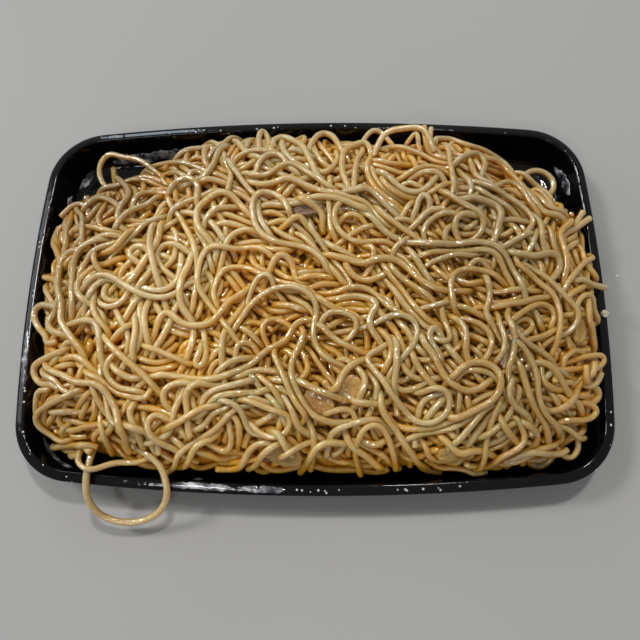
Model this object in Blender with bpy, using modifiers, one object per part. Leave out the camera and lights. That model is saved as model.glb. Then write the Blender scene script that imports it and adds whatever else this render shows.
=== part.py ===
"""Lo mein heaped in a shallow black catering tray.

Frame: metres, +Z up, +X along the tray's length, +Y towards its far side.
The origin is the centre of the tray's flat underside.

Nodes: the tray, the noodle heap as one fused solid, and the slices of onion,
shallot and meat that lie on it.
"""
import math
import random

import bmesh
import bpy
import numpy as np
from mathutils import Vector
from mathutils.bvhtree import BVHTree

# Tray: a bowed rounded rectangle, pressed from thin sheet
TRAY_LENGTH = 0.280
TRAY_WIDTH = 0.190
TRAY_HEIGHT = 0.020
CORNER_RADIUS = 0.029
LONG_SIDE_BOW = 0.0058
SHORT_SIDE_BOW = 0.0028
SHEET = 0.0009
LIP_WIDTH = 0.0048
LIP_DROP = 0.0014
LIP_EDGE_DROP = 0.0010
LIP_ROUND = 0.0008
WALL_LEAN = math.radians(13.6)
FLOOR_FILLET = 0.006
FLOOR_MARGIN = 0.022
CORNER_STEPS = 6
LONG_SIDE_STEPS = 8
SHORT_SIDE_STEPS = 5
FILLET_STEPS = 4

# Heap in plan: sides that bound it, each (direction in degrees, distance from the origin, bow per metre)
HEAP_SIDES = (
    (0.0, 0.1335, 0.64),      # right end
    (49.0, 0.1160, 0.0),      # cut far-right corner
    (90.0, 0.0825, 0.20),     # far side
    (121.0, 0.0965, 0.0),     # cut far-left corner
    (180.0, 0.1315, 0.64),    # left end
    (232.0, 0.1305, 0.0),     # near-left corner
    (270.0, 0.0880, 0.47),    # near side
    (308.0, 0.1290, 0.0),     # near-right corner
)
HEAP_CORNER_BLEND = 0.004
HEAP_EDGE_HEIGHT = 0.0205
HEAP_RISE = 0.0250
HEAP_SHOULDER = 0.018
HEAP_MIDDLE = Vector((0.0, -0.004))
WAVE_HEIGHT = 0.0013
WAVE_LENGTH = 0.047

# Core that carries the noodles: the heap less one layer of them
CORE_INSET = 0.0050
CORE_BELOW_SURFACE = 0.0030
CORE_RINGS = (1.0, 0.95, 0.87, 0.74, 0.56, 0.34)
CORE_STEPS = 44
CORE_SIDE = (          # (inset from the heap's edge, height) from the shoulder down to the tray floor
    (0.0055, 0.0150),
    (0.0080, 0.0080),
    (0.0120, 0.0040),
    (0.0160, 0.0013),
)

# Noodles
NOODLE_RADIUS = 0.00158
NOODLE_BEVEL_RESOLUTION = 1
NOODLE_STEP = 0.0050
NOODLE_COUNT = 26
NOODLE_STEPS_EACH = 20
NOODLE_SEAT = 0.55         # how far its middle stands above what it lies on, in radii
NOODLE_CLIMB = 1.75        # and above a noodle that it crosses, in radii
NOODLE_EDGE_GAP = 0.0024
NOODLE_TURN_MEAN = 62.0    # bend of the path, radians per metre
NOODLE_TURN_SPREAD = 75.0
NOODLE_TURN_MEMORY = 0.80
NOODLE_SPREAD = 0.0060     # width that each keeps to itself where it can
NOODLE_DRAWS = 60
NOODLE_SEED = 41

# Noodles that leave the heap's even form: routes through a few hand-set points
EDGE_NOODLES = {
    "hanging_loop": (
        (-0.118, -0.062, 0.0225), (-0.106, -0.063, 0.0270), (-0.088, -0.070, 0.0272),
        (-0.0685, -0.080, 0.0256), (-0.0635, -0.0905, 0.0226), (-0.0645, -0.0975, 0.0178),
        (-0.071, -0.1040, 0.0115), (-0.082, -0.1070, 0.0096), (-0.093, -0.105, 0.0112),
        (-0.0990, -0.099, 0.0172), (-0.0998, -0.0895, 0.0228), (-0.0985, -0.077, 0.0225),
        (-0.096, -0.068, 0.0190),
    ),
    "crossing_strand": (
        (-0.101, -0.071, 0.0190), (-0.1045, -0.079, 0.0245), (-0.098, -0.0848, 0.0262),
        (-0.087, -0.0812, 0.0246), (-0.075, -0.0808, 0.0242), (-0.066, -0.073, 0.0225),
    ),
    "far_left_loop": (
        (-0.076, 0.060, 0.0255), (-0.088, 0.070, 0.0248), (-0.099, 0.0735, 0.0226), (-0.1065, 0.0765, 0.0212),
        (-0.111, 0.0685, 0.0206), (-0.107, 0.0580, 0.0216), (-0.096, 0.0500, 0.0235),
    ),
    "far_right_loop": (
        (0.101, 0.0560, 0.0210), (0.1095, 0.0650, 0.0175), (0.1160, 0.0672, 0.0155),
        (0.1222, 0.0640, 0.0142), (0.1228, 0.0570, 0.0142), (0.1140, 0.0480, 0.0170),
    ),
    "near_right_loop": (
        (0.100, -0.062, 0.0265), (0.107, -0.0710, 0.0222), (0.1155, -0.0785, 0.0172),
        (0.1205, -0.0735, 0.0180), (0.1175, -0.0630, 0.0210), (0.108, -0.0540, 0.0260),
    ),
    "right_loop": (
        (0.108, -0.0400, 0.0330), (0.1225, -0.0345, 0.0305), (0.1330, -0.0330, 0.0272),
        (0.1325, -0.0370, 0.0262), (0.1240, -0.0415, 0.0290), (0.1130, -0.0500, 0.0300),
    ),
    "far_bump": (
        (0.030, 0.0660, 0.0330), (0.036, 0.0780, 0.0345), (0.0455, 0.0805, 0.0345),
        (0.0550, 0.0800, 0.0350), (0.0600, 0.0680, 0.0335),
    ),
    "left_stub": (
        (-0.1265, 0.0400, 0.0228), (-0.1190, 0.0460, 0.0252), (-0.1120, 0.0430, 0.0262), (-0.1080, 0.0330, 0.0262),
    ),
}

# Slices on the heap: name, middle, length, width, thickness, turn in degrees, curl of its long edges
SLICES = (
    ("meat_slice_left", (0.0045, -0.0560), 0.0150, 0.0100, 0.0028, -38.0, 0.0006),
    ("meat_slice_right", (0.0170, -0.0510), 0.0135, 0.0100, 0.0028, 40.0, 0.0005),
    ("shallot_strip", (-0.0010, 0.0325), 0.0155, 0.0062, 0.0024, 8.0, 0.0006),
    ("shallot_piece_right", (0.0860, -0.0330), 0.0190, 0.0064, 0.0024, 74.0, 0.0007),
    ("onion_slice_front", (-0.0110, -0.0775), 0.0165, 0.0080, 0.0026, -12.0, 0.0006),
    ("onion_slice_front_right", (0.0620, -0.0765), 0.0130, 0.0060, 0.0024, 6.0, 0.0005),
    ("onion_slice_right", (0.1210, -0.0230), 0.0120, 0.0066, 0.0024, 72.0, 0.0005),
    ("onion_slice_left", (-0.0790, -0.0680), 0.0120, 0.0076, 0.0026, -28.0, 0.0005),
)
SLICE_GAP = 0.00045
SLICE_LONG_CUTS = 6
SLICE_CROSS_CUTS = 3
SLICE_ROUNDNESS = 0.75

PLASTIC_COLOUR = (0.008, 0.008, 0.009, 1.0)
NOODLE_COLOUR = (0.62, 0.37, 0.13, 1.0)
ONION_COLOUR = (0.66, 0.48, 0.25, 1.0)
MEAT_COLOUR = (0.42, 0.25, 0.14, 1.0)
SHALLOT_COLOUR = (0.38, 0.26, 0.22, 1.0)


def clear_scene():
    """Remove every object that the scene starts with."""
    for thing in list(bpy.data.objects):
        bpy.data.objects.remove(thing, do_unlink=True)


def new_collection(name):
    """Add a collection to the scene."""
    collection = bpy.data.collections.new(name)
    bpy.context.scene.collection.children.link(collection)
    return collection


def material(name, colour, roughness):
    """A plain Principled material."""
    result = bpy.data.materials.new(name)
    result.use_nodes = True
    shader = result.node_tree.nodes["Principled BSDF"]
    shader.inputs["Base Color"].default_value = colour
    shader.inputs["Roughness"].default_value = roughness
    shader.inputs["Metallic"].default_value = 0.0
    return result


def add_object(name, data, collection, finish=None):
    """Put a mesh or a curve in the scene under a name."""
    thing = bpy.data.objects.new(name, data)
    collection.objects.link(thing)
    if finish is not None:
        data.materials.append(finish)
    return thing


def loft(bm, rings):
    """Join closed rings of equal length by quads, and return their vertices."""
    layers = [[bm.verts.new(point) for point in ring] for ring in rings]
    for lower, upper in zip(layers, layers[1:]):
        for i in range(len(lower)):
            j = (i + 1) % len(lower)
            bm.faces.new((lower[i], lower[j], upper[j], upper[i]))
    return layers


# ---------------------------------------------------------------- tray

def bowed_corner():
    """Corner of the skeleton that the outline is offset from by the corner radius."""
    half_length = TRAY_LENGTH / 2 - CORNER_RADIUS
    half_width = TRAY_WIDTH / 2 - CORNER_RADIUS
    x, y = half_length, half_width
    for _ in range(20):
        x = half_length - SHORT_SIDE_BOW * (y / half_width) ** 2
        y = half_width - LONG_SIDE_BOW * (x / half_length) ** 2
    return half_length, half_width, x, y


def tray_outline(inset):
    """Points round the tray, moved in from its outer edge: four bowed sides and four round corners."""
    half_length, half_width, corner_x, corner_y = bowed_corner()
    offset = CORNER_RADIUS - inset
    quarter = []
    for i in range(LONG_SIDE_STEPS + 1):
        x = -corner_x + 2 * corner_x * i / LONG_SIDE_STEPS
        slope = 2 * LONG_SIDE_BOW * x / half_length ** 2
        y = half_width - LONG_SIDE_BOW * (x / half_length) ** 2
        quarter.append((x, y, math.atan2(1.0, slope)))
    turn_from = quarter[-1][2]
    turn_to = math.atan2(2 * SHORT_SIDE_BOW * corner_y / half_width ** 2, 1.0)
    for i in range(1, CORNER_STEPS):
        turn = turn_from + (turn_to - turn_from) * i / CORNER_STEPS
        quarter.append((corner_x, corner_y, turn))
    for i in range(SHORT_SIDE_STEPS + 1):
        y = corner_y - 2 * corner_y * i / SHORT_SIDE_STEPS
        slope = 2 * SHORT_SIDE_BOW * y / half_width ** 2
        x = half_length - SHORT_SIDE_BOW * (y / half_width) ** 2
        quarter.append((x, y, math.atan2(slope, 1.0)))
    turn_from, turn_to = -turn_to, turn_from - math.pi
    for i in range(1, CORNER_STEPS):
        turn = turn_from + (turn_to - turn_from) * i / CORNER_STEPS
        quarter.append((corner_x, -corner_y, turn))
    half = [(x + offset * math.cos(turn), y + offset * math.sin(turn)) for x, y, turn in quarter]
    outline = half + [(-x, -y) for x, y in half]
    outline.reverse()
    return outline


def tray_profile():
    """The sheet's inner face in section, from the lip's outer edge to the floor: (inset, height)."""
    points = [
        (0.0, TRAY_HEIGHT - LIP_DROP - LIP_EDGE_DROP),
        (0.0, TRAY_HEIGHT - LIP_DROP),
        (LIP_WIDTH * 0.4, TRAY_HEIGHT - LIP_DROP * 0.4),
        (LIP_WIDTH - LIP_ROUND, TRAY_HEIGHT),
        (LIP_WIDTH, TRAY_HEIGHT - LIP_ROUND),
    ]
    fillet_height = FLOOR_FILLET * (1 - math.sin(WALL_LEAN))
    wall_foot = SHEET + fillet_height
    wall_run = (TRAY_HEIGHT - LIP_ROUND - wall_foot) * math.tan(WALL_LEAN)
    for i in range(FILLET_STEPS + 1):
        turn = WALL_LEAN + (math.pi / 2 - WALL_LEAN) * i / FILLET_STEPS
        inset = LIP_WIDTH + wall_run + FLOOR_FILLET * (math.cos(WALL_LEAN) - math.cos(turn))
        points.append((inset, wall_foot - FLOOR_FILLET * (math.sin(turn) - math.sin(WALL_LEAN))))
    points.append((FLOOR_MARGIN, SHEET))
    return points


def build_tray(collection, finish):
    """Pressed sheet: an open surface from lip to floor, thickened downwards."""
    bm = bmesh.new()
    rings = [[(x, y, height) for x, y in tray_outline(inset)] for inset, height in tray_profile()]
    layers = loft(bm, rings)
    bm.faces.new(layers[-1])
    bm.normal_update()
    mesh = bpy.data.meshes.new("tray")
    bm.to_mesh(mesh)
    bm.free()
    tray = add_object("tray", mesh, collection, finish)
    solid = tray.modifiers.new("Sheet", "SOLIDIFY")
    solid.thickness = SHEET
    solid.offset = -1.0
    solid.use_even_offset = True
    return tray


# ---------------------------------------------------------------- heap

def edge_distance(x, y):
    """Distance from a point in plan to the heap's edge, positive inside, with its corners rounded."""
    total = 0.0
    for direction, reach, bow in HEAP_SIDES:
        angle = math.radians(direction)
        out = x * math.cos(angle) + y * math.sin(angle)
        along = y * math.cos(angle) - x * math.sin(angle)
        total += math.exp((out + bow * along ** 2 - reach) / HEAP_CORNER_BLEND)
    return -HEAP_CORNER_BLEND * math.log(total)


def heap_height(x, y):
    """Height of the heap's upper surface: a steep shoulder, a broad top and slow waves."""
    inside = max(edge_distance(x, y), 0.0)
    rise = 1 - math.exp(-inside / HEAP_SHOULDER)
    turn = 2 * math.pi / WAVE_LENGTH
    wave = math.sin(turn * (x + 0.35 * y) + 0.6) * math.cos(turn * (0.8 * y - 0.2 * x) + 1.1)
    return HEAP_EDGE_HEIGHT + HEAP_RISE * rise + WAVE_HEIGHT * rise * wave


def heap_radius(turn, inset):
    """How far the heap's edge, moved in by an inset, lies from its middle in one direction."""
    near, far = 0.0, TRAY_LENGTH
    for _ in range(40):
        radius = (near + far) / 2
        point = HEAP_MIDDLE + radius * Vector((math.cos(turn), math.sin(turn)))
        if edge_distance(point.x, point.y) > inset:
            near = radius
        else:
            far = radius
    return near


def build_core():
    """Closed body under the noodles: rings up the tray's wall, over the shoulder and to the middle."""
    turns = [2 * math.pi * i / CORE_STEPS for i in range(CORE_STEPS)]

    def ring(inset, fraction, height=None):
        points = []
        for turn in turns:
            radius = heap_radius(turn, inset) * fraction
            point = HEAP_MIDDLE + radius * Vector((math.cos(turn), math.sin(turn)))
            top = heap_height(point.x, point.y) - CORE_BELOW_SURFACE
            points.append((point.x, point.y, top if height is None else height))
        return points

    rings = [ring(inset, 1.0, height) for inset, height in reversed(CORE_SIDE)]
    rings += [ring(CORE_INSET, fraction) for fraction in CORE_RINGS]
    bm = bmesh.new()
    layers = loft(bm, rings)
    bm.faces.new(list(reversed(layers[0])))
    top = heap_height(HEAP_MIDDLE.x, HEAP_MIDDLE.y) - CORE_BELOW_SURFACE
    middle = bm.verts.new((HEAP_MIDDLE.x, HEAP_MIDDLE.y, top))
    for i in range(CORE_STEPS):
        bm.faces.new((layers[-1][i], layers[-1][(i + 1) % CORE_STEPS], middle))
    bmesh.ops.triangulate(bm, faces=bm.faces[:])
    bm.normal_update()
    return bm


class Ground:
    """Height of what has been laid so far: the bare core, then each noodle on a fine grid."""

    CELL = 0.0008
    SIZE = 400

    def __init__(self, core):
        self.tree = BVHTree.FromBMesh(core)
        self.laid = np.full((self.SIZE, self.SIZE), -1.0)

    def core_height(self, x, y):
        """Top of the bare core under a point."""
        return self.tree.ray_cast(Vector((x, y, TRAY_LENGTH)), Vector((0.0, 0.0, -1.0)))[0].z

    def cells(self, x, y, reach):
        """Rows and columns of the grid round a point."""
        row = int(round(x / self.CELL)) + self.SIZE // 2
        column = int(round(y / self.CELL)) + self.SIZE // 2
        span = int(math.ceil(reach / self.CELL))
        return slice(row - span, row + span + 1), slice(column - span, column + span + 1)

    def laid_height(self, x, y):
        """Middle height of the highest noodle that passes close by."""
        return float(self.laid[self.cells(x, y, 1.6 * NOODLE_RADIUS)].max())

    def crowding(self, path):
        """Share of the ground beside a path that noodles already cover."""
        return sum(float((self.laid[self.cells(x, y, NOODLE_SPREAD)] > 0).mean()) for x, y in path) / len(path)

    def lay(self, route):
        """Record a noodle's middle height along its route."""
        for a, b in zip(route, route[1:]):
            for k in range(6):
                point = a.lerp(b, k / 6)
                window = self.cells(point.x, point.y, 0.5 * NOODLE_RADIUS)
                self.laid[window] = np.maximum(self.laid[window], point.z)


def smooth_route(points, step):
    """Even points along a smooth curve through hand-set ones."""
    places = [Vector(p) for p in points]
    places = [2 * places[0] - places[1]] + places + [2 * places[-1] - places[-2]]
    fine = []
    for a, b, c, d in zip(places, places[1:], places[2:], places[3:]):
        for k in range(24):
            t = k / 24
            fine.append(0.5 * (2 * b + (c - a) * t + (2 * a - 5 * b + 4 * c - d) * t ** 2
                               + (3 * b - a - 3 * c + d) * t ** 3))
    fine.append(places[-2])
    length = sum((q - p).length for p, q in zip(fine, fine[1:]))
    count = max(4, round(length / step))
    even, walked, target = [fine[0]], 0.0, length / count
    for p, q in zip(fine, fine[1:]):
        piece = (q - p).length
        while walked + piece >= target * len(even) and len(even) < count:
            even.append(p.lerp(q, (target * len(even) - walked) / piece))
        walked += piece
    even.append(fine[-1])
    return even


def clear_of_slices(x, y):
    """Whether a noodle here leaves every slice free."""
    for _, middle, length, width, _, turn, _ in SLICES:
        angle = math.radians(turn)
        dx, dy = x - middle[0], y - middle[1]
        along = (dx * math.cos(angle) + dy * math.sin(angle)) / (length / 2 + NOODLE_RADIUS + 0.0009)
        across = (dy * math.cos(angle) - dx * math.sin(angle)) / (width / 2 + NOODLE_RADIUS + 0.0009)
        if along ** 2 + across ** 2 < 1.15:
            return False
    return True


def wander(start, heading, draw):
    """A curling path in plan that turns back before the heap's edge and stops at a slice."""
    path = [Vector(start)]
    bend = draw.gauss(0.0, NOODLE_TURN_MEAN)
    side = draw.choice((-1.0, 1.0))
    for _ in range(NOODLE_STEPS_EACH):
        target = side * NOODLE_TURN_MEAN + draw.gauss(0.0, NOODLE_TURN_SPREAD)
        bend = NOODLE_TURN_MEMORY * bend + (1 - NOODLE_TURN_MEMORY) * target
        if draw.random() < 0.12:
            side = -side
        x, y = path[-1]
        ahead = (x + 0.011 * math.cos(heading), y + 0.011 * math.sin(heading))
        if edge_distance(*ahead) < NOODLE_EDGE_GAP + 0.004:
            left = edge_distance(x + 0.008 * math.cos(heading + 0.8), y + 0.008 * math.sin(heading + 0.8))
            right = edge_distance(x + 0.008 * math.cos(heading - 0.8), y + 0.008 * math.sin(heading - 0.8))
            bend = 170.0 if left > right else -170.0
        heading += bend * NOODLE_STEP
        place = path[-1] + NOODLE_STEP * Vector((math.cos(heading), math.sin(heading)))
        if edge_distance(place.x, place.y) < NOODLE_EDGE_GAP or not clear_of_slices(place.x, place.y):
            break
        path.append(place)
    return path


def crosses_itself(path):
    """Whether a path comes back to within a noodle's width of itself."""
    for i, a in enumerate(path):
        for b in path[i + 3:]:
            if (a - b).length < 2.3 * NOODLE_RADIUS:
                return True
    return False


def drape(path, ground):
    """Heights for a path in plan: on the core, over noodles already laid, with its ends sunk in."""
    heights = []
    for place in path:
        if edge_distance(place.x, place.y) > CORE_INSET + NOODLE_RADIUS:
            height = ground.core_height(place.x, place.y)
        else:
            height = heap_height(place.x, place.y) - CORE_BELOW_SURFACE
        height += NOODLE_SEAT * NOODLE_RADIUS
        heights.append(max(height, ground.laid_height(place.x, place.y) + NOODLE_CLIMB * NOODLE_RADIUS))
    floor = list(heights)
    for _ in range(12):
        for i in range(1, len(heights) - 1):
            heights[i] = max(floor[i], (heights[i - 1] + heights[i + 1]) / 2 - 0.0003)
    for end in (0, -1):
        heights[end] -= 1.1 * NOODLE_RADIUS
    return [Vector((place.x, place.y, height)) for place, height in zip(path, heights)]


def heap_routes(ground):
    """Routes of the noodles on top of the heap: each is the draw that lies where the fewest others do."""
    draw = random.Random(NOODLE_SEED)
    routes = []
    while len(routes) < NOODLE_COUNT:
        best = None
        for _ in range(NOODLE_DRAWS):
            start = (draw.uniform(-0.5, 0.5) * TRAY_LENGTH, draw.uniform(-0.5, 0.5) * TRAY_WIDTH)
            heading = draw.uniform(0.0, 2 * math.pi)
            if edge_distance(*start) < NOODLE_EDGE_GAP or not clear_of_slices(*start):
                continue
            path = wander(start, heading, draw)
            if len(path) <= NOODLE_STEPS_EACH or crosses_itself(path):
                continue
            crowding = ground.crowding(path)
            if best is None or crowding < best[0]:
                best = (crowding, path)
        route = drape(best[1], ground)
        ground.lay(route)
        routes.append(route)
    return routes


def noodle_mesh(name, route):
    """A noodle as a closed tube: a bevelled curve made into a mesh, with its caps welded on."""
    curve = bpy.data.curves.new(name, "CURVE")
    curve.dimensions = "3D"
    curve.bevel_depth = NOODLE_RADIUS
    curve.bevel_resolution = NOODLE_BEVEL_RESOLUTION
    curve.use_fill_caps = True
    spline = curve.splines.new("POLY")
    spline.points.add(len(route) - 1)
    for point, place in zip(spline.points, route):
        point.co = (*place, 1.0)
    tube = add_object(name, curve, bpy.context.scene.collection)
    bpy.context.view_layer.update()
    mesh = bpy.data.meshes.new_from_object(tube.evaluated_get(bpy.context.evaluated_depsgraph_get()))
    bpy.data.objects.remove(tube, do_unlink=True)
    bm = bmesh.new()
    bm.from_mesh(mesh)
    bmesh.ops.remove_doubles(bm, verts=bm.verts[:], dist=1e-6)
    bmesh.ops.recalc_face_normals(bm, faces=bm.faces[:])
    bm.to_mesh(mesh)
    bm.free()
    return mesh


def keep_largest_body(mesh):
    """Drop loose scraps and the skins of sealed hollows that the union leaves."""
    bm = bmesh.new()
    bm.from_mesh(mesh)
    left = set(bm.faces)
    bodies = []
    while left:
        stack = [left.pop()]
        body = list(stack)
        while stack:
            face = stack.pop()
            for edge in face.edges:
                for other in edge.link_faces:
                    if other in left:
                        left.remove(other)
                        stack.append(other)
                        body.append(other)
        bodies.append(body)
    bodies.sort(key=len)
    for body in bodies[:-1]:
        bmesh.ops.delete(bm, geom=body, context="FACES")
    bm.to_mesh(mesh)
    bm.free()


def build_noodles(collection, core, ground, finish):
    """Core and showing noodles joined into one solid."""
    mesh = bpy.data.meshes.new("noodles")
    core.to_mesh(mesh)
    heap = add_object("noodles", mesh, collection, finish)
    routes = [smooth_route(points, NOODLE_STEP) for points in EDGE_NOODLES.values()]
    for route in routes:
        ground.lay(route)
    routes += heap_routes(ground)
    strands = new_collection("strands")
    for number, route in enumerate(routes):
        name = f"strand_{number:02d}"
        add_object(name, noodle_mesh(name, route), strands)
    union = heap.modifiers.new("Noodles", "BOOLEAN")
    union.operation = "UNION"
    union.operand_type = "COLLECTION"
    union.collection = strands
    union.solver = "MANIFOLD"
    bpy.context.view_layer.update()
    joined = bpy.data.meshes.new_from_object(heap.evaluated_get(bpy.context.evaluated_depsgraph_get()))
    heap.modifiers.clear()
    heap.data = joined
    for strand in list(strands.objects):
        bpy.data.objects.remove(strand, do_unlink=True)
    bpy.data.collections.remove(strands)
    keep_largest_body(joined)
    return heap


# ---------------------------------------------------------------- slices

def build_slice(collection, ground, finish, name, middle, length, width, thickness, turn, curl):
    """A thin rounded slice that follows the bare core under it, with its long edges curled up."""
    bm = bmesh.new()
    bmesh.ops.create_grid(bm, x_segments=SLICE_LONG_CUTS, y_segments=SLICE_CROSS_CUTS, size=1.0)
    angle = math.radians(turn)
    for vertex in bm.verts:
        u, v = vertex.co.x, vertex.co.y
        along = u * math.sqrt(1 - SLICE_ROUNDNESS * v * v / 2) * length / 2
        across = v * math.sqrt(1 - SLICE_ROUNDNESS * u * u / 2) * width / 2
        x = middle[0] + along * math.cos(angle) - across * math.sin(angle)
        y = middle[1] + along * math.sin(angle) + across * math.cos(angle)
        height = ground.core_height(x, y) + SLICE_GAP + curl * v * v + curl * (1 + math.sin(3.1 * u)) / 2
        vertex.co = (x, y, height)
    bmesh.ops.triangulate(bm, faces=bm.faces[:])
    bm.normal_update()
    if sum(face.normal.z for face in bm.faces) < 0:
        bmesh.ops.reverse_faces(bm, faces=bm.faces[:])
    mesh = bpy.data.meshes.new(name)
    bm.to_mesh(mesh)
    bm.free()
    piece = add_object(name, mesh, collection, finish)
    solid = piece.modifiers.new("Thickness", "SOLIDIFY")
    solid.thickness = thickness
    solid.offset = 1.0
    return piece


def main():
    clear_scene()
    collection = new_collection("lo_mein")
    plastic = material("black_plastic", PLASTIC_COLOUR, 0.16)
    noodle = material("noodle", NOODLE_COLOUR, 0.32)
    finishes = {
        "meat": material("meat", MEAT_COLOUR, 0.4),
        "shallot": material("shallot", SHALLOT_COLOUR, 0.3),
        "onion": material("onion", ONION_COLOUR, 0.3),
    }
    build_tray(collection, plastic)
    core = build_core()
    ground = Ground(core)
    build_noodles(collection, core, ground, noodle)
    for row in SLICES:
        build_slice(collection, ground, finishes[row[0].split("_")[0]], *row)
    core.free()


main()
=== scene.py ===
"""Looks of lo mein in a black catering tray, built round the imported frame.

Every object is in metres, in the frame's own axes. The tray, the heap, the noodles and the drops are
worked out in millimetres and turned into metres when their meshes are made.
"""
import math

import bmesh
import bpy
import numpy as np
from mathutils import Matrix, Vector, noise


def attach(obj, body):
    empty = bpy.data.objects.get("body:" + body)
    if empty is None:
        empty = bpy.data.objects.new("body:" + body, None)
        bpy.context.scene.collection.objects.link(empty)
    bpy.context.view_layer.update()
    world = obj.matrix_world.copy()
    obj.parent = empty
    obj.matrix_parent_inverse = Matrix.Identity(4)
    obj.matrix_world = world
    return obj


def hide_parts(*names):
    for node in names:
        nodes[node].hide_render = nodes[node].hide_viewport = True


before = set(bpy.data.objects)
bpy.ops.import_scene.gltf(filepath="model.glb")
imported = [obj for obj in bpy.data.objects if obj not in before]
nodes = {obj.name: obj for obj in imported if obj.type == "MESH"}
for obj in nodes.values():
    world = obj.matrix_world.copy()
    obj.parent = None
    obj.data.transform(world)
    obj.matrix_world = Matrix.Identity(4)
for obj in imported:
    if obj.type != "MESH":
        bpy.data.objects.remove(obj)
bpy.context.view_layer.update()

MM = 0.001

# Tray, in millimetres, as the frame has it
TRAY_LENGTH = 280.0
TRAY_WIDTH = 190.0
TRAY_HEIGHT = 20.0
CORNER_RADIUS = 29.0
LONG_SIDE_BOW = 5.8
SHORT_SIDE_BOW = 2.8
SHEET = 0.9
LIP_WIDTH = 4.8
LIP_DROP = 1.4
LIP_EDGE_DROP = 1.0
WALL_LEAN = math.radians(13.6)
FLOOR_FILLET = 6.0
HALF_LENGTH = TRAY_LENGTH / 2 - CORNER_RADIUS
HALF_WIDTH = TRAY_WIDTH / 2 - CORNER_RADIUS

# Heap, in millimetres: (direction in degrees, distance from the origin, bow) of its sides in plan
HEAP_SIDES = (
    (0.0, 135.5, 0.00064),
    (49.0, 119.0, 0.0),
    (90.0, 86.5, 0.00020),
    (121.0, 104.0, 0.0),
    (180.0, 133.0, 0.00064),
    (232.0, 130.5, 0.0),
    (270.0, 88.0, 0.00047),
    (308.0, 129.0, 0.0),
)
HEAP_CORNER_BLEND = 4.0
HEAP_EDGE_HEIGHT = 20.5
HEAP_RISE = 25.0
HEAP_SHOULDER = 18.0
WAVE_HEIGHT = 1.3
WAVE_LENGTH = 47.0
LAYER_DEPTH = 12.0
CORE_SLOPE = 7.0

# Noodles, in millimetres
NOODLE_RADIUS = 1.55
NOODLE_STEP = 2.2
NOODLE_TOTAL = 33000.0
LOOSE_TOP = 0.70
PILE_SEED = 7
NOODLE_PARTS = 2
NOODLE_SIDES = 8
LAYERS = 6
SLICE_BEAD_RADIUS = 0.5

# How a loose noodle wanders, in millimetres and radians per millimetre
CURL = 0.095
CURL_LENGTH = 15.0
CURL_EASE = 5.5
SHARPEST_TURN = 0.24
MOST_TURNED = 3.3
FLOW_PULL = 0.03
LOOK_AHEAD = 5.0
EDGE_MARGIN = 1.2
NEIGHBOUR_GAP = 3.3

# Core under the loose noodles, in millimetres
CORE_MIDDLE_Y = -4.0
CORE_INSET = 6.0
CORE_AROUND = 220
CORE_RINGS = 70
CORE_RELIEF = 0.9
CORE_SKIRT = ((6.0, 1.2), (4.0, 3.0), (2.0, 6.0))

# Tone of the noodles: 0 is browned, by sauce and by painted shade of the gaps and sides, 1 is pale
NOODLE_TONE = 0.62
TONE_SPREAD = 0.16
TONE_FALL = 0.65
TONE_DEPTH = 7.0
# Painted shade on the noodles' sides and painted light on their tops, as shifts of their tone
PAINTED_SIDE_SHADE = 0.42
PAINTED_TOP_LIGHT = 0.06

# Colours of the noodles and of the core: pale, middle and browned. The browned ones, and all of the core's,
# are also painted warm shade for the gaps between noodles.
NOODLE_COLOURS = ((0.605, 0.512, 0.312), (0.630, 0.464, 0.178), (0.78, 0.403, 0.026))
DEEP_COLOURS = ((0.80, 0.36, 0.010), (0.78, 0.35, 0.010), (0.76, 0.34, 0.010))

# Camera, in metres
CAMERA_PLACE = (0.01438, -0.10172, 0.31732)
CAMERA_AIM = (0.00406, -0.01385, 0.0200)
CAMERA_ROLL = math.radians(-6.596)
CAMERA_LENS = 36.56
CAMERA_SENSOR = 36.0
PHOTO_SIDE = 640


# ---------------------------------------------------------------- materials

def new_material(name):
    """A material with its Principled shader."""
    result = bpy.data.materials.new(name)
    result.use_nodes = True
    return result, result.node_tree, result.node_tree.nodes["Principled BSDF"]


def add_node(tree, kind, **values):
    """Add a shader node and set its inputs and properties by name."""
    result = tree.nodes.new(kind)
    for key, value in values.items():
        if key in result.bl_rna.properties:
            setattr(result, key, value)
        else:
            result.inputs[key.title()].default_value = value
    return result


def colour_ramp(tree, factor, stops):
    """A colour ramp over a factor: stops are (position, colour)."""
    ramp = tree.nodes.new("ShaderNodeValToRGB")
    elements = ramp.color_ramp.elements
    while len(elements) > 1:
        elements.remove(elements[-1])
    elements[0].position, elements[0].color = stops[0][0], (*stops[0][1], 1.0)
    for position, colour in stops[1:]:
        elements.new(position).color = (*colour, 1.0)
    tree.links.new(factor, ramp.inputs["Fac"])
    return ramp.outputs["Color"]


def object_noise(tree, scale, detail=2.0, roughness=0.5):
    """Noise that sits in the object, in cells of 1/scale metres."""
    place = tree.nodes.new("ShaderNodeTexCoord")
    cells = add_node(tree, "ShaderNodeTexNoise", scale=scale, detail=detail, roughness=roughness)
    tree.links.new(place.outputs["Object"], cells.inputs["Vector"])
    return cells.outputs["Fac"]


def mix_colour(tree, blend, factor, first, second):
    """Mix two colours; each of factor, first and second is a socket or a value."""
    mix = tree.nodes.new("ShaderNodeMix")
    mix.data_type = "RGBA"
    mix.blend_type = blend
    for value, socket in ((factor, mix.inputs[0]), (first, mix.inputs[6]), (second, mix.inputs[7])):
        if isinstance(value, bpy.types.NodeSocket):
            tree.links.new(value, socket)
        elif isinstance(value, tuple):
            socket.default_value = (*value, 1.0)
        else:
            socket.default_value = value
    return mix.outputs[2]


def map_range(tree, value, low, high, from_low=0.0, from_high=1.0):
    """A value moved from one range to another."""
    node = tree.nodes.new("ShaderNodeMapRange")
    tree.links.new(value, node.inputs["Value"])
    node.inputs["From Min"].default_value = from_low
    node.inputs["From Max"].default_value = from_high
    node.inputs["To Min"].default_value = low
    node.inputs["To Max"].default_value = high
    return node.outputs["Result"]


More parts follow.
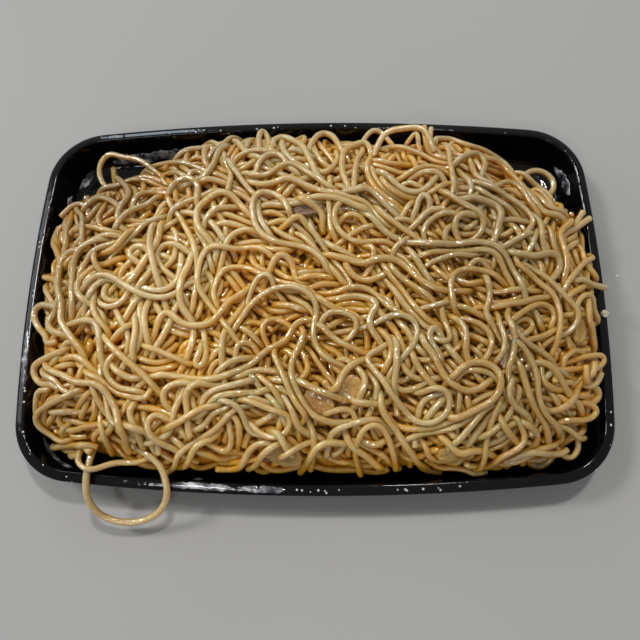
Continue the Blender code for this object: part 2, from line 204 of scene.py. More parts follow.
def bump(tree, shader, height, strength, distance, normal="Normal"):
    """Feed a height into one of the shader's normals, at a distance in metres."""
    node = add_node(tree, "ShaderNodeBump", strength=strength, distance=distance)
    tree.links.new(height, node.inputs["Height"])
    tree.links.new(node.outputs["Normal"], shader.inputs[normal])


def set_inputs(shader, values):
    """Set a shader's inputs by name."""
    for name, value in values.items():
        shader.inputs[name].default_value = value


def tone_with_painted_side_shade(tree):
    """A noodle's own tone, with painted shade that browns its sides and painted light that pales its top."""
    tone = add_node(tree, "ShaderNodeAttribute", attribute_name="tone")
    place = tree.nodes.new("ShaderNodeTexCoord")
    facing = tree.nodes.new("ShaderNodeSeparateXYZ")
    tree.links.new(place.outputs["Normal"], facing.inputs["Vector"])
    # Painted shade and light: a side or underside takes a browner tone, a top a paler one
    side_shade_and_top_light = map_range(tree, facing.outputs["Z"], -PAINTED_SIDE_SHADE, PAINTED_TOP_LIGHT, 0.15, 0.90)
    result = add_node(tree, "ShaderNodeMath", operation="ADD", use_clamp=True)
    tree.links.new(tone.outputs["Fac"], result.inputs[0])
    tree.links.new(side_shade_and_top_light, result.inputs[1])
    return result.outputs["Value"]


def noodle_material(name, pale, mid, deep):
    """Cooked noodle: amber, translucent, with oil that breaks its highlights into dots."""
    result, tree, shader = new_material(name)
    base = colour_ramp(tree, tone_with_painted_side_shade(tree), ((0.0, deep), (0.5, mid), (1.0, pale)))
    stain = colour_ramp(tree, object_noise(tree, 55.0), ((0.38, (1.0, 1.0, 1.0)), (0.68, (0.96, 0.90, 0.80))))
    base = mix_colour(tree, "MULTIPLY", 1.0, base, stain)
    mottle = colour_ramp(tree, object_noise(tree, 420.0),
                         ((0.35, (0.94, 0.91, 0.86)), (0.65, (1.05, 1.05, 1.04))))
    base = mix_colour(tree, "MULTIPLY", 1.0, base, mottle)
    # Painted shade and painted light by place in plan, from the shade attribute
    shade = add_node(tree, "ShaderNodeAttribute", attribute_name="shade")
    base = mix_colour(tree, "MULTIPLY", 1.0, base, shade.outputs["Color"])
    tree.links.new(base, shader.inputs["Base Color"])
    tree.links.new(map_range(tree, object_noise(tree, 260.0), 0.30, 0.55), shader.inputs["Roughness"])
    set_inputs(shader, {
        "Subsurface Weight": 0.85, "Subsurface Radius": (1.0, 0.60, 0.22), "Subsurface Scale": 0.0045,
        "Specular IOR Level": 0.25, "Coat Weight": 0.90, "Coat Roughness": 0.05, "Coat IOR": 2.0})
    bump(tree, shader, object_noise(tree, 900.0, detail=2.0), 0.40, 0.00030)
    bump(tree, shader, object_noise(tree, 450.0, detail=1.0), 1.0, 0.00060, "Coat Normal")
    return result


def plastic_material():
    """Glossy black pressed plastic, wet in patches that break its reflections."""
    result, tree, shader = new_material("tray_plastic")
    smear = colour_ramp(tree, object_noise(tree, 28.0),
                        ((0.40, (0.0016, 0.0018, 0.0022)), (0.70, (0.0034, 0.0037, 0.0044))))
    tree.links.new(smear, shader.inputs["Base Color"])
    rough = map_range(tree, object_noise(tree, 60.0, detail=4.0), 0.03, 0.12)
    tree.links.new(rough, shader.inputs["Roughness"])
    patches = colour_ramp(tree, object_noise(tree, 75.0), ((0.47, (0.0, 0.0, 0.0)), (0.55, (1.0, 1.0, 1.0))))
    ripple = mix_colour(tree, "MULTIPLY", 1.0, object_noise(tree, 520.0, detail=1.0), patches)
    bump(tree, shader, ripple, 1.0, 0.00010)
    set_inputs(shader, {"Specular IOR Level": 0.32})
    return result


def moist_material(name, dark, light, spots, size, scatter):
    """Cooked meat or onion: translucent and wet, mottled between two colours, with darker spots."""
    result, tree, shader = new_material(name)
    base = colour_ramp(tree, object_noise(tree, size), ((0.35, dark), (0.65, light)))
    speckle = colour_ramp(tree, object_noise(tree, 7 * size), ((0.36, spots), (0.50, (1.0, 1.0, 1.0))))
    tree.links.new(mix_colour(tree, "MULTIPLY", 1.0, base, speckle), shader.inputs["Base Color"])
    set_inputs(shader, {
        "Roughness": 0.38, "Subsurface Weight": 0.8, "Subsurface Radius": (1.0, 0.6, 0.35),
        "Subsurface Scale": scatter, "Specular IOR Level": 0.25, "Coat Weight": 0.6, "Coat Roughness": 0.05,
        "Coat IOR": 1.6})
    bump(tree, shader, object_noise(tree, 900.0, detail=3.0), 0.6, 0.00025)
    bump(tree, shader, object_noise(tree, 620.0, detail=2.0), 1.0, 0.00022, "Coat Normal")
    return result


def drop_material():
    """Drops of water and fat, their pale grey colour a painted glint."""
    result, tree, shader = new_material("drop_painted_glint")
    # Painted glint: the pale grey stands in for the drops' highlights
    painted_reflection = colour_ramp(tree, object_noise(tree, 400.0),
                        ((0.35, (0.34, 0.36, 0.38)), (0.65, (0.62, 0.63, 0.63))))
    tree.links.new(painted_reflection, shader.inputs["Base Color"])
    set_inputs(shader, {"Roughness": 0.12, "Coat Weight": 1.0, "Coat Roughness": 0.02})
    return result


def film_material():
    """Thin liquid, clear in places; its pale cloudy patches are painted reflection."""
    result, tree, shader = new_material("film_painted_reflection")
    # Painted reflection: the pale patches stand in for light mirrored by the wet tray
    painted_reflection = colour_ramp(tree, object_noise(tree, 170.0, detail=4.0),
                        ((0.40, (0.012, 0.014, 0.018)), (0.50, (0.13, 0.14, 0.16)),
                         (0.64, (0.60, 0.62, 0.64))))
    tree.links.new(painted_reflection, shader.inputs["Base Color"])
    set_inputs(shader, {"Roughness": 0.15, "Coat Weight": 1.0, "Coat Roughness": 0.03})
    bump(tree, shader, object_noise(tree, 600.0, detail=1.0), 1.0, 0.00010)
    return result


def floor_material():
    """Plain pale grey surface."""
    result, tree, shader = new_material("floor_grey")
    grey = colour_ramp(tree, object_noise(tree, 3.0),
                       ((0.3, (0.329, 0.327, 0.325)), (0.7, (0.351, 0.349, 0.347))))
    tree.links.new(grey, shader.inputs["Base Color"])
    set_inputs(shader, {"Roughness": 0.65})
    return result


# ---------------------------------------------------------------- meshes

def mesh_object(name, places, faces, finish):
    """A smooth object from an array of places in metres and arrays of faces of one or more sizes."""
    mesh = bpy.data.meshes.new(name)
    mesh.vertices.add(len(places))
    mesh.vertices.foreach_set("co", np.asarray(places, np.float32).ravel())
    corners = np.concatenate([np.asarray(part, np.int32).ravel() for part in faces])
    sizes = np.concatenate([np.full(len(part), part.shape[1], np.int32) for part in faces])
    mesh.loops.add(len(corners))
    mesh.loops.foreach_set("vertex_index", corners)
    mesh.polygons.add(len(sizes))
    mesh.polygons.foreach_set("loop_start", np.concatenate(([0], np.cumsum(sizes)[:-1])).astype(np.int32))
    mesh.polygons.foreach_set("use_smooth", np.full(len(sizes), True))
    mesh.update(calc_edges=True)
    mesh.validate()
    mesh.materials.append(finish)
    piece = bpy.data.objects.new(name, mesh)
    bpy.context.scene.collection.objects.link(piece)
    return piece


def closed_rings(rings, around, flipped=False):
    """Faces of a closed skin over rings of points: quads between them, the first end and the last end."""
    row = np.arange(rings - 1)[:, None] * around
    column = np.arange(around)[None, :]
    after = (column + 1) % around
    quads = np.stack([row + column, row + after, row + around + after, row + around + column], axis=2)
    first = np.arange(around)[None, ::-1]
    last = (rings - 1) * around + np.arange(around)[None, :]
    faces = [quads.reshape(-1, 4), first, last]
    return [part[:, ::-1] for part in faces] if flipped else faces


def dress(piece, slot=None, *replaced):
    """Make a piece ride on the one body, and hide the parts that it replaces."""
    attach(piece, "root")
    if replaced:
        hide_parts(*replaced)


# ---------------------------------------------------------------- tray

def long_side(x):
    """Distance from the middle to the skeleton's bowed long side, at a place along it."""
    return HALF_WIDTH - LONG_SIDE_BOW * (x / HALF_LENGTH) ** 2


def short_side(y):
    """Distance from the middle to the skeleton's bowed short side, at a place along it."""
    return HALF_LENGTH - SHORT_SIDE_BOW * (y / HALF_WIDTH) ** 2


def bowed_corner():
    """Corner of the skeleton that the tray's outline is offset from."""
    x, y = HALF_LENGTH, HALF_WIDTH
    for _ in range(20):
        x = short_side(y)
        y = long_side(x)
    return x, y


def tray_skeleton(long_steps, short_steps, corner_steps):
    """Skeleton points and outward turns round half the tray, from far left to near right."""
    corner_x, corner_y = bowed_corner()
    points = []
    for x in np.linspace(-corner_x, corner_x, long_steps):
        points.append((x, long_side(x), math.atan2(1.0, 2 * LONG_SIDE_BOW * x / HALF_LENGTH ** 2)))
    side_turn = math.atan2(2 * SHORT_SIDE_BOW * corner_y / HALF_WIDTH ** 2, 1.0)
    top_turn = points[-1][2]
    for turn in np.linspace(top_turn, side_turn, corner_steps)[1:-1]:
        points.append((corner_x, corner_y, turn))
    for y in np.linspace(corner_y, -corner_y, short_steps):
        points.append((short_side(y), y, math.atan2(2 * SHORT_SIDE_BOW * y / HALF_WIDTH ** 2, 1.0)))
    for turn in np.linspace(-side_turn, -top_turn, corner_steps)[1:-1]:
        points.append((corner_x, -corner_y, turn))
    return np.array(points)


def tray_ring(skeleton, inset, height):
    """One ring of the tray at an inset from its outer edge and a height, in metres."""
    offset = CORNER_RADIUS - inset
    x = skeleton[:, 0] + offset * np.cos(skeleton[:, 2])
    y = skeleton[:, 1] + offset * np.sin(skeleton[:, 2])
    half = np.stack([x, y], axis=1)
    outline = np.concatenate([half, -half])[::-1]
    return np.column_stack([outline, np.full(len(outline), height)]) * MM


def tray_section():
    """Closed section of the tray's sheet from the lip's edge to the floor: inner face, then outer face."""
    inner = [(0.0, TRAY_HEIGHT - LIP_DROP - LIP_EDGE_DROP), (0.0, TRAY_HEIGHT - LIP_DROP - 0.35),
             (0.12, TRAY_HEIGHT - LIP_DROP - 0.08), (0.4, TRAY_HEIGHT - LIP_DROP + 0.08)]
    inner += [(LIP_WIDTH * part, TRAY_HEIGHT - LIP_DROP * (1 - part) ** 1.6) for part in (0.25, 0.45, 0.65)]
    inner += [(LIP_WIDTH - 0.9, TRAY_HEIGHT - 0.02), (LIP_WIDTH - 0.5, TRAY_HEIGHT - 0.10),
              (LIP_WIDTH - 0.18, TRAY_HEIGHT - 0.38), (LIP_WIDTH, TRAY_HEIGHT - 0.85)]
    fillet_height = FLOOR_FILLET * (1 - math.sin(WALL_LEAN))
    wall_foot = SHEET + fillet_height
    wall_top = TRAY_HEIGHT - 0.85
    for part in (0.33, 0.67):
        height = wall_top + (wall_foot - wall_top) * part
        inner.append((LIP_WIDTH + (wall_top - height) * math.tan(WALL_LEAN), height))
    wall_run = (wall_top - wall_foot) * math.tan(WALL_LEAN)
    for turn in np.linspace(WALL_LEAN, math.pi / 2, 9):
        inset = LIP_WIDTH + wall_run + FLOOR_FILLET * (math.cos(WALL_LEAN) - math.cos(turn))
        inner.append((inset, wall_foot - FLOOR_FILLET * (math.sin(turn) - math.sin(WALL_LEAN))))
    inner.append((22.0, SHEET))
    inner = np.array(inner)
    ahead = np.gradient(inner, axis=0)
    ahead /= np.linalg.norm(ahead, axis=1)[:, None]
    outer = inner + SHEET * np.column_stack([ahead[:, 1], -ahead[:, 0]])
    outer[0] = inner[0] + (SHEET, 0.0)
    outer[1:4] = inner[1:4] + np.array([(SHEET, -0.1), (SHEET, -0.45), (SHEET, -0.75)])
    outer[-2:, 1] = 0.0
    return inner, outer


def build_tray(finish):
    """The tray as one closed sheet, finer than the frame's own."""
    skeleton = tray_skeleton(40, 26, 18)
    inner, outer = tray_section()
    path = np.concatenate([inner[::-1], outer])
    rings = [tray_ring(skeleton, inset, height) for inset, height in path]
    faces = closed_rings(len(rings), len(rings[0]), flipped=True)
    dress(mesh_object("tray_sheet", np.concatenate(rings), faces, finish), "tray_plastic", "tray")


# ---------------------------------------------------------------- pile

def edge_distance(x, y):
    """Distance in plan to the heap's edge, positive inside."""
    total = 0.0
    for direction, reach, bow in HEAP_SIDES:
        angle = math.radians(direction)
        out = x * math.cos(angle) + y * math.sin(angle)
        along = y * math.cos(angle) - x * math.sin(angle)
        total = total + np.exp((out + bow * along ** 2 - reach) / HEAP_CORNER_BLEND)
    return -HEAP_CORNER_BLEND * np.log(total)


def heap_height(x, y):
    """Height of the heap's upper surface."""
    inside = np.maximum(edge_distance(x, y), 0.0)
    rise = 1 - np.exp(-inside / HEAP_SHOULDER)
    turn = 2 * math.pi / WAVE_LENGTH
    wave = np.sin(turn * (x + 0.35 * y) + 0.6) * np.cos(turn * (0.8 * y - 0.2 * x) + 1.1)
    return HEAP_EDGE_HEIGHT + HEAP_RISE * rise + WAVE_HEIGHT * rise * wave


def core_height(x, y):
    """Top of the solid core that the loose noodles lie on, down to the tray's floor at the heap's edge."""
    share = np.clip(edge_distance(x, y) / CORE_SLOPE, 0.0, 1.0)
    return np.maximum((heap_height(x, y) - LAYER_DEPTH) * share * (2 - share), SHEET + 0.3)


def tray_distance(x, y):
    """Distance in plan inside the tray's outer edge."""
    side_x, side_y = np.abs(x), np.abs(y)
    past_x = side_x - short_side(np.minimum(side_y, HALF_WIDTH))
    past_y = side_y - long_side(np.minimum(side_x, HALF_LENGTH))
    outside = np.hypot(np.maximum(past_x, 0), np.maximum(past_y, 0))
    return CORNER_RADIUS - outside - np.minimum(np.maximum(past_x, past_y), 0)


# Where the noodles run alike: (x, y, direction in degrees, reach, strength)
FLOW = (
    (-75, 10, 80, 35, 1.0),
    (-60, -20, 65, 30, 0.8),
    (10, 40, -25, 45, 1.0),
    (60, 20, -30, 40, 1.0),
    (105, 30, -55, 30, 0.9),
    (112, -20, 80, 22, 0.7),
    (-100, -40, -40, 30, 0.6),
    (-30, -50, 30, 35, 0.7),
    (60, -50, -40, 35, 0.6),
    (0, -80, 5, 25, 0.8),
    (-110, 20, 70, 25, 0.8),
    (20, -10, -35, 30, 0.5),
    (100, -60, 10, 25, 0.5),
)


def flow(x, y):
    """Direction and strength of the flow at a point."""
    cosine = sine = 0.0
    for flow_x, flow_y, angle, reach, strength in FLOW:
        weight = strength * math.exp(-((x - flow_x) ** 2 + (y - flow_y) ** 2) / (2 * reach * reach))
        cosine += weight * math.cos(2 * math.radians(angle))
        sine += weight * math.sin(2 * math.radians(angle))
    return math.atan2(sine, cosine) / 2, min(1.0, math.hypot(cosine, sine))


def slow_noise(draw, count, scale):
    """Smooth random numbers from 0 to 1 along a noodle, that change over a scale in millimetres."""
    knots = draw.random(max(2, int(count * NOODLE_STEP / scale) + 3))
    place = np.linspace(0, len(knots) - 1.001, count)
    index = place.astype(int)
    part = place - index
    part = part * part * (3 - 2 * part)
    return knots[index] * (1 - part) + knots[np.minimum(index + 1, len(knots) - 1)] * part


def room_ahead(x, y, heading, reach):
    """Distance to the heap's edge from a point a reach ahead."""
    return edge_distance(x + reach * math.cos(heading), y + reach * math.sin(heading))


def wander(draw, x, y, heading, count, curl):
    """A curling path in plan that follows the flow and turns back at the heap's edge."""
    path = [(x, y)]
    bend = draw.normal(0, 0.5 * curl)
    target = draw.normal(0, curl)
    turned = 0.0
    for _ in range(count):
        if draw.random() < NOODLE_STEP / CURL_LENGTH:
            target = draw.normal(0, curl)
        if abs(turned) > MOST_TURNED and turned * target > 0:
            target = -target
        bend += (target - bend) * NOODLE_STEP / CURL_EASE
        along, strength = flow(x, y)
        turn = bend + strength * FLOW_PULL * math.sin(2 * (along - heading))
        if room_ahead(x, y, heading, LOOK_AHEAD) < EDGE_MARGIN:
            left = room_ahead(x, y, heading + 0.9, LOOK_AHEAD + 1)
            right = room_ahead(x, y, heading - 0.9, LOOK_AHEAD + 1)
            turn = math.copysign(max(abs(bend), 0.2), left - right)
            bend, target = turn, turn * 0.5
        turn = min(max(turn, -SHARPEST_TURN), SHARPEST_TURN)
        turned = 0.97 * turned + turn * NOODLE_STEP
        heading += turn * NOODLE_STEP
        x += NOODLE_STEP * math.cos(heading)
        y += NOODLE_STEP * math.sin(heading)
        path.append((x, y))
    return np.array(path)


def even_steps(path):
    """A path resampled to even steps of a noodle."""
    lengths = np.linalg.norm(np.diff(path[:, :3], axis=0), axis=1)
    walked = np.concatenate(([0], np.cumsum(lengths)))
    count = max(3, round(walked[-1] / NOODLE_STEP))
    places = np.linspace(0, walked[-1], count + 1)
    return np.column_stack([np.interp(places, walked, path[:, k]) for k in range(path.shape[1])])


def longest_run(inside):
    """First and last index of the longest unbroken stretch that is inside."""
    edges = np.flatnonzero(np.diff(np.concatenate(([0], inside.astype(int), [0]))))
    starts, ends = edges[::2], edges[1::2]
    if len(starts) == 0:
        return 0, 0
    best = int(np.argmax(ends - starts))
    return int(starts[best]), int(ends[best])


def level_to_height(x, y, level):
    """Height in the loose layer for levels from 0, on the core, to 1, at the heap's surface."""
    low = core_height(x, y) + NOODLE_RADIUS
    high = heap_height(x, y) - NOODLE_RADIUS
    return low + (high - low) * level


def edge_heading(x, y):
    """Heading along the heap's edge near a point."""
    slope_x = edge_distance(x + 0.5, y) - edge_distance(x - 0.5, y)
    slope_y = edge_distance(x, y + 0.5) - edge_distance(x, y - 0.5)
    return math.atan2(slope_x, -slope_y)


def loose_noodles(draw, slices):
    """Noodles of the pile before they settle: families of neighbours that run side by side."""
    noodles = []
    made = 0.0
    while made < NOODLE_TOTAL:
        x, y = draw.uniform(-138, 138), draw.uniform(-92, 88)
        along_edge = draw.random() < 0.30
        if edge_distance(x, y) < 1.0 or (along_edge and edge_distance(x, y) > 7.0):
            continue
        count = int(draw.uniform(35, 120))
        heading = draw.uniform(0, 2 * math.pi)
        if along_edge:
            heading = edge_heading(x, y) + draw.normal(0, 0.4)
        base = wander(draw, x, y, heading, count, CURL)
        ahead = np.gradient(base, axis=0)
        ahead /= np.linalg.norm(ahead, axis=1)[:, None]
        aside = np.column_stack([-ahead[:, 1], ahead[:, 0]])
        level = slow_noise(draw, len(base), 30.0)
        for member in range(draw.choice((1, 1, 1, 1, 2, 2, 3))):
            offset = NEIGHBOUR_GAP * member + 4.0 * (slow_noise(draw, len(base), 25.0) - 0.5)
            path = base + aside * offset[:, None]
            skip = int(draw.uniform(0, 0.2) * len(path)) if member else 0
            stop = len(path) - (int(draw.uniform(0, 0.25) * len(path)) if member else 0)
            run = np.column_stack([path, level])[skip:stop]
            first, last = longest_run(edge_distance(run[:, 0], run[:, 1]) > 0.0)
            if last - first < 12:
                continue
            run = even_steps(run[first:last])
            share = LOOSE_TOP * np.clip(run[:, 2] + draw.normal(0, 0.04), 0, 1)
            from_end = np.minimum(np.arange(len(run)), np.arange(len(run))[::-1]) * NOODLE_STEP
            share *= 1 - 0.55 * np.exp(-from_end / 7.0)
            height = level_to_height(run[:, 0], run[:, 1], share)
            on_rim = (edge_distance(run[:, 0], run[:, 1]) < 1.5) & (height > 15.0)
            height = np.where(on_rim, np.maximum(height, TRAY_HEIGHT + NOODLE_RADIUS), height)
            for beads in slices:
                middle = beads.mean(axis=0)
                reach = np.linalg.norm(beads[:, :2] - middle[:2], axis=1).max() + 1.0
                over = np.hypot(run[:, 0] - middle[0], run[:, 1] - middle[1]) < reach
                height = np.where(over, np.minimum(height, beads[:, 2].min() - 2.0), height)
            noodles.append(np.column_stack([run[:, :2], height]))
            made += NOODLE_STEP * len(run)
    return noodles


def camera_turn():
    """The camera's rotation as a matrix."""
    view = Vector(CAMERA_AIM) - Vector(CAMERA_PLACE)
    return view.to_track_quat("-Z", "Y").to_matrix() @ Matrix.Rotation(CAMERA_ROLL, 3, "Z")


def sight_at(column, row, height):
    """Where the line of sight through a point of the photograph is at a height, in plan."""
    scale = CAMERA_SENSOR / CAMERA_LENS / PHOTO_SIDE
    middle = PHOTO_SIDE / 2
    sight = camera_turn() @ Vector(((column - middle) * scale, (middle - row) * scale, -1.0))
    share = (height * MM - CAMERA_PLACE[2]) / sight[2]
    return (CAMERA_PLACE[0] + share * sight[0]) / MM, (CAMERA_PLACE[1] + share * sight[1]) / MM


def on_heap(column, row):
    """Where the line of sight through a point of the photograph meets the heap, in plan."""
    height = 40.0
    for _ in range(12):
        x, y = sight_at(column, row, height)
        height = 0.5 * height + 0.5 * (float(heap_height(x, y)) + 0.5)
    return x, y


def traced_noodle(draw, points):
    """Beads of a noodle seen in the photograph, its ends run on and down, and which of them are held."""
    seen = np.array([on_heap(column, row) for column, row in points])
    seen = even_steps(spline(seen, 8))
    parts = []
    for end, before in ((seen[0], seen[2]), (seen[-1], seen[-3])):
        heading = math.atan2(end[1] - before[1], end[0] - before[0])
        parts.append(wander(draw, end[0], end[1], heading, int(draw.uniform(5, 10)), 0.09)[1:])
    path = np.concatenate((parts[0][::-1], seen, parts[1]))
    drop = np.zeros(len(path))
    drop[:len(parts[0])] = np.linspace(1, 0, len(parts[0]) + 1)[:-1]
    drop[len(path) - len(parts[1]):] = np.linspace(0, 1, len(parts[1]) + 1)[1:]
    held = drop == 0
    inside = edge_distance(path[:, 0], path[:, 1]) > -1.0
    keep = held | inside
    path, drop, held = path[keep], drop[keep], held[keep]
    height = level_to_height(path[:, 0], path[:, 1], 1.05 - 0.7 * drop) + 1.5 * (1 - drop)
    height = np.where(held, np.maximum(height, TRAY_HEIGHT + NOODLE_RADIUS), height)
    return np.column_stack([path, height]), held


# Noodles that leave the heap's even form: points in millimetres
EDGE_NOODLES = {
    "hanging_loop": ((-118, -62, 22.5), (-106, -63, 27), (-88, -70, 27.2), (-68.5, -80, 25.6),
                     (-63.5, -90.5, 22.6), (-64.5, -97.5, 17.8), (-71, -104, 11.5), (-82, -107, 9.6),
                     (-93, -105, 11.2), (-99, -99, 17.2), (-99.8, -89.5, 22.8), (-98.5, -77, 22.5),
                     (-96, -68, 19)),
    "crossing_strand": ((-101, -71, 19), (-104.5, -79, 24.5), (-98, -84.8, 26.2), (-87, -81.2, 24.6),
                        (-75, -80.8, 24.2), (-66, -73, 22.5)),
    "far_left_loop": ((-76, 60, 25.5), (-88, 70, 24.8), (-99, 73.5, 22.6), (-106.5, 76.5, 21.2),
                      (-111, 68.5, 20.6), (-107, 58, 21.6), (-96, 50, 23.5)),
    "far_right_loop": ((101, 56, 21), (109.5, 65, 17.5), (116, 67.2, 15.5), (122.2, 64, 14.2),
                       (122.8, 57, 14.2), (114, 48, 17)),
    "near_right_loop": ((100, -62, 26.5), (107, -71, 22.2), (115.5, -78.5, 17.2), (120.5, -73.5, 18),
                        (117.5, -63, 21), (108, -54, 26)),
    "right_loop": ((108, -40, 33), (122.5, -34.5, 30.5), (133, -33, 27.2), (132.5, -37, 26.2),
                   (124, -41.5, 29), (113, -50, 30)),
    "far_bump": ((30, 66, 33), (36, 78, 34.5), (45.5, 80.5, 34.5), (55, 80, 35), (60, 68, 33.5)),
    "left_stub": ((-126.5, 40, 22.8), (-119, 46, 25.2), (-112, 43, 26.2), (-108, 33, 26.2)),
}

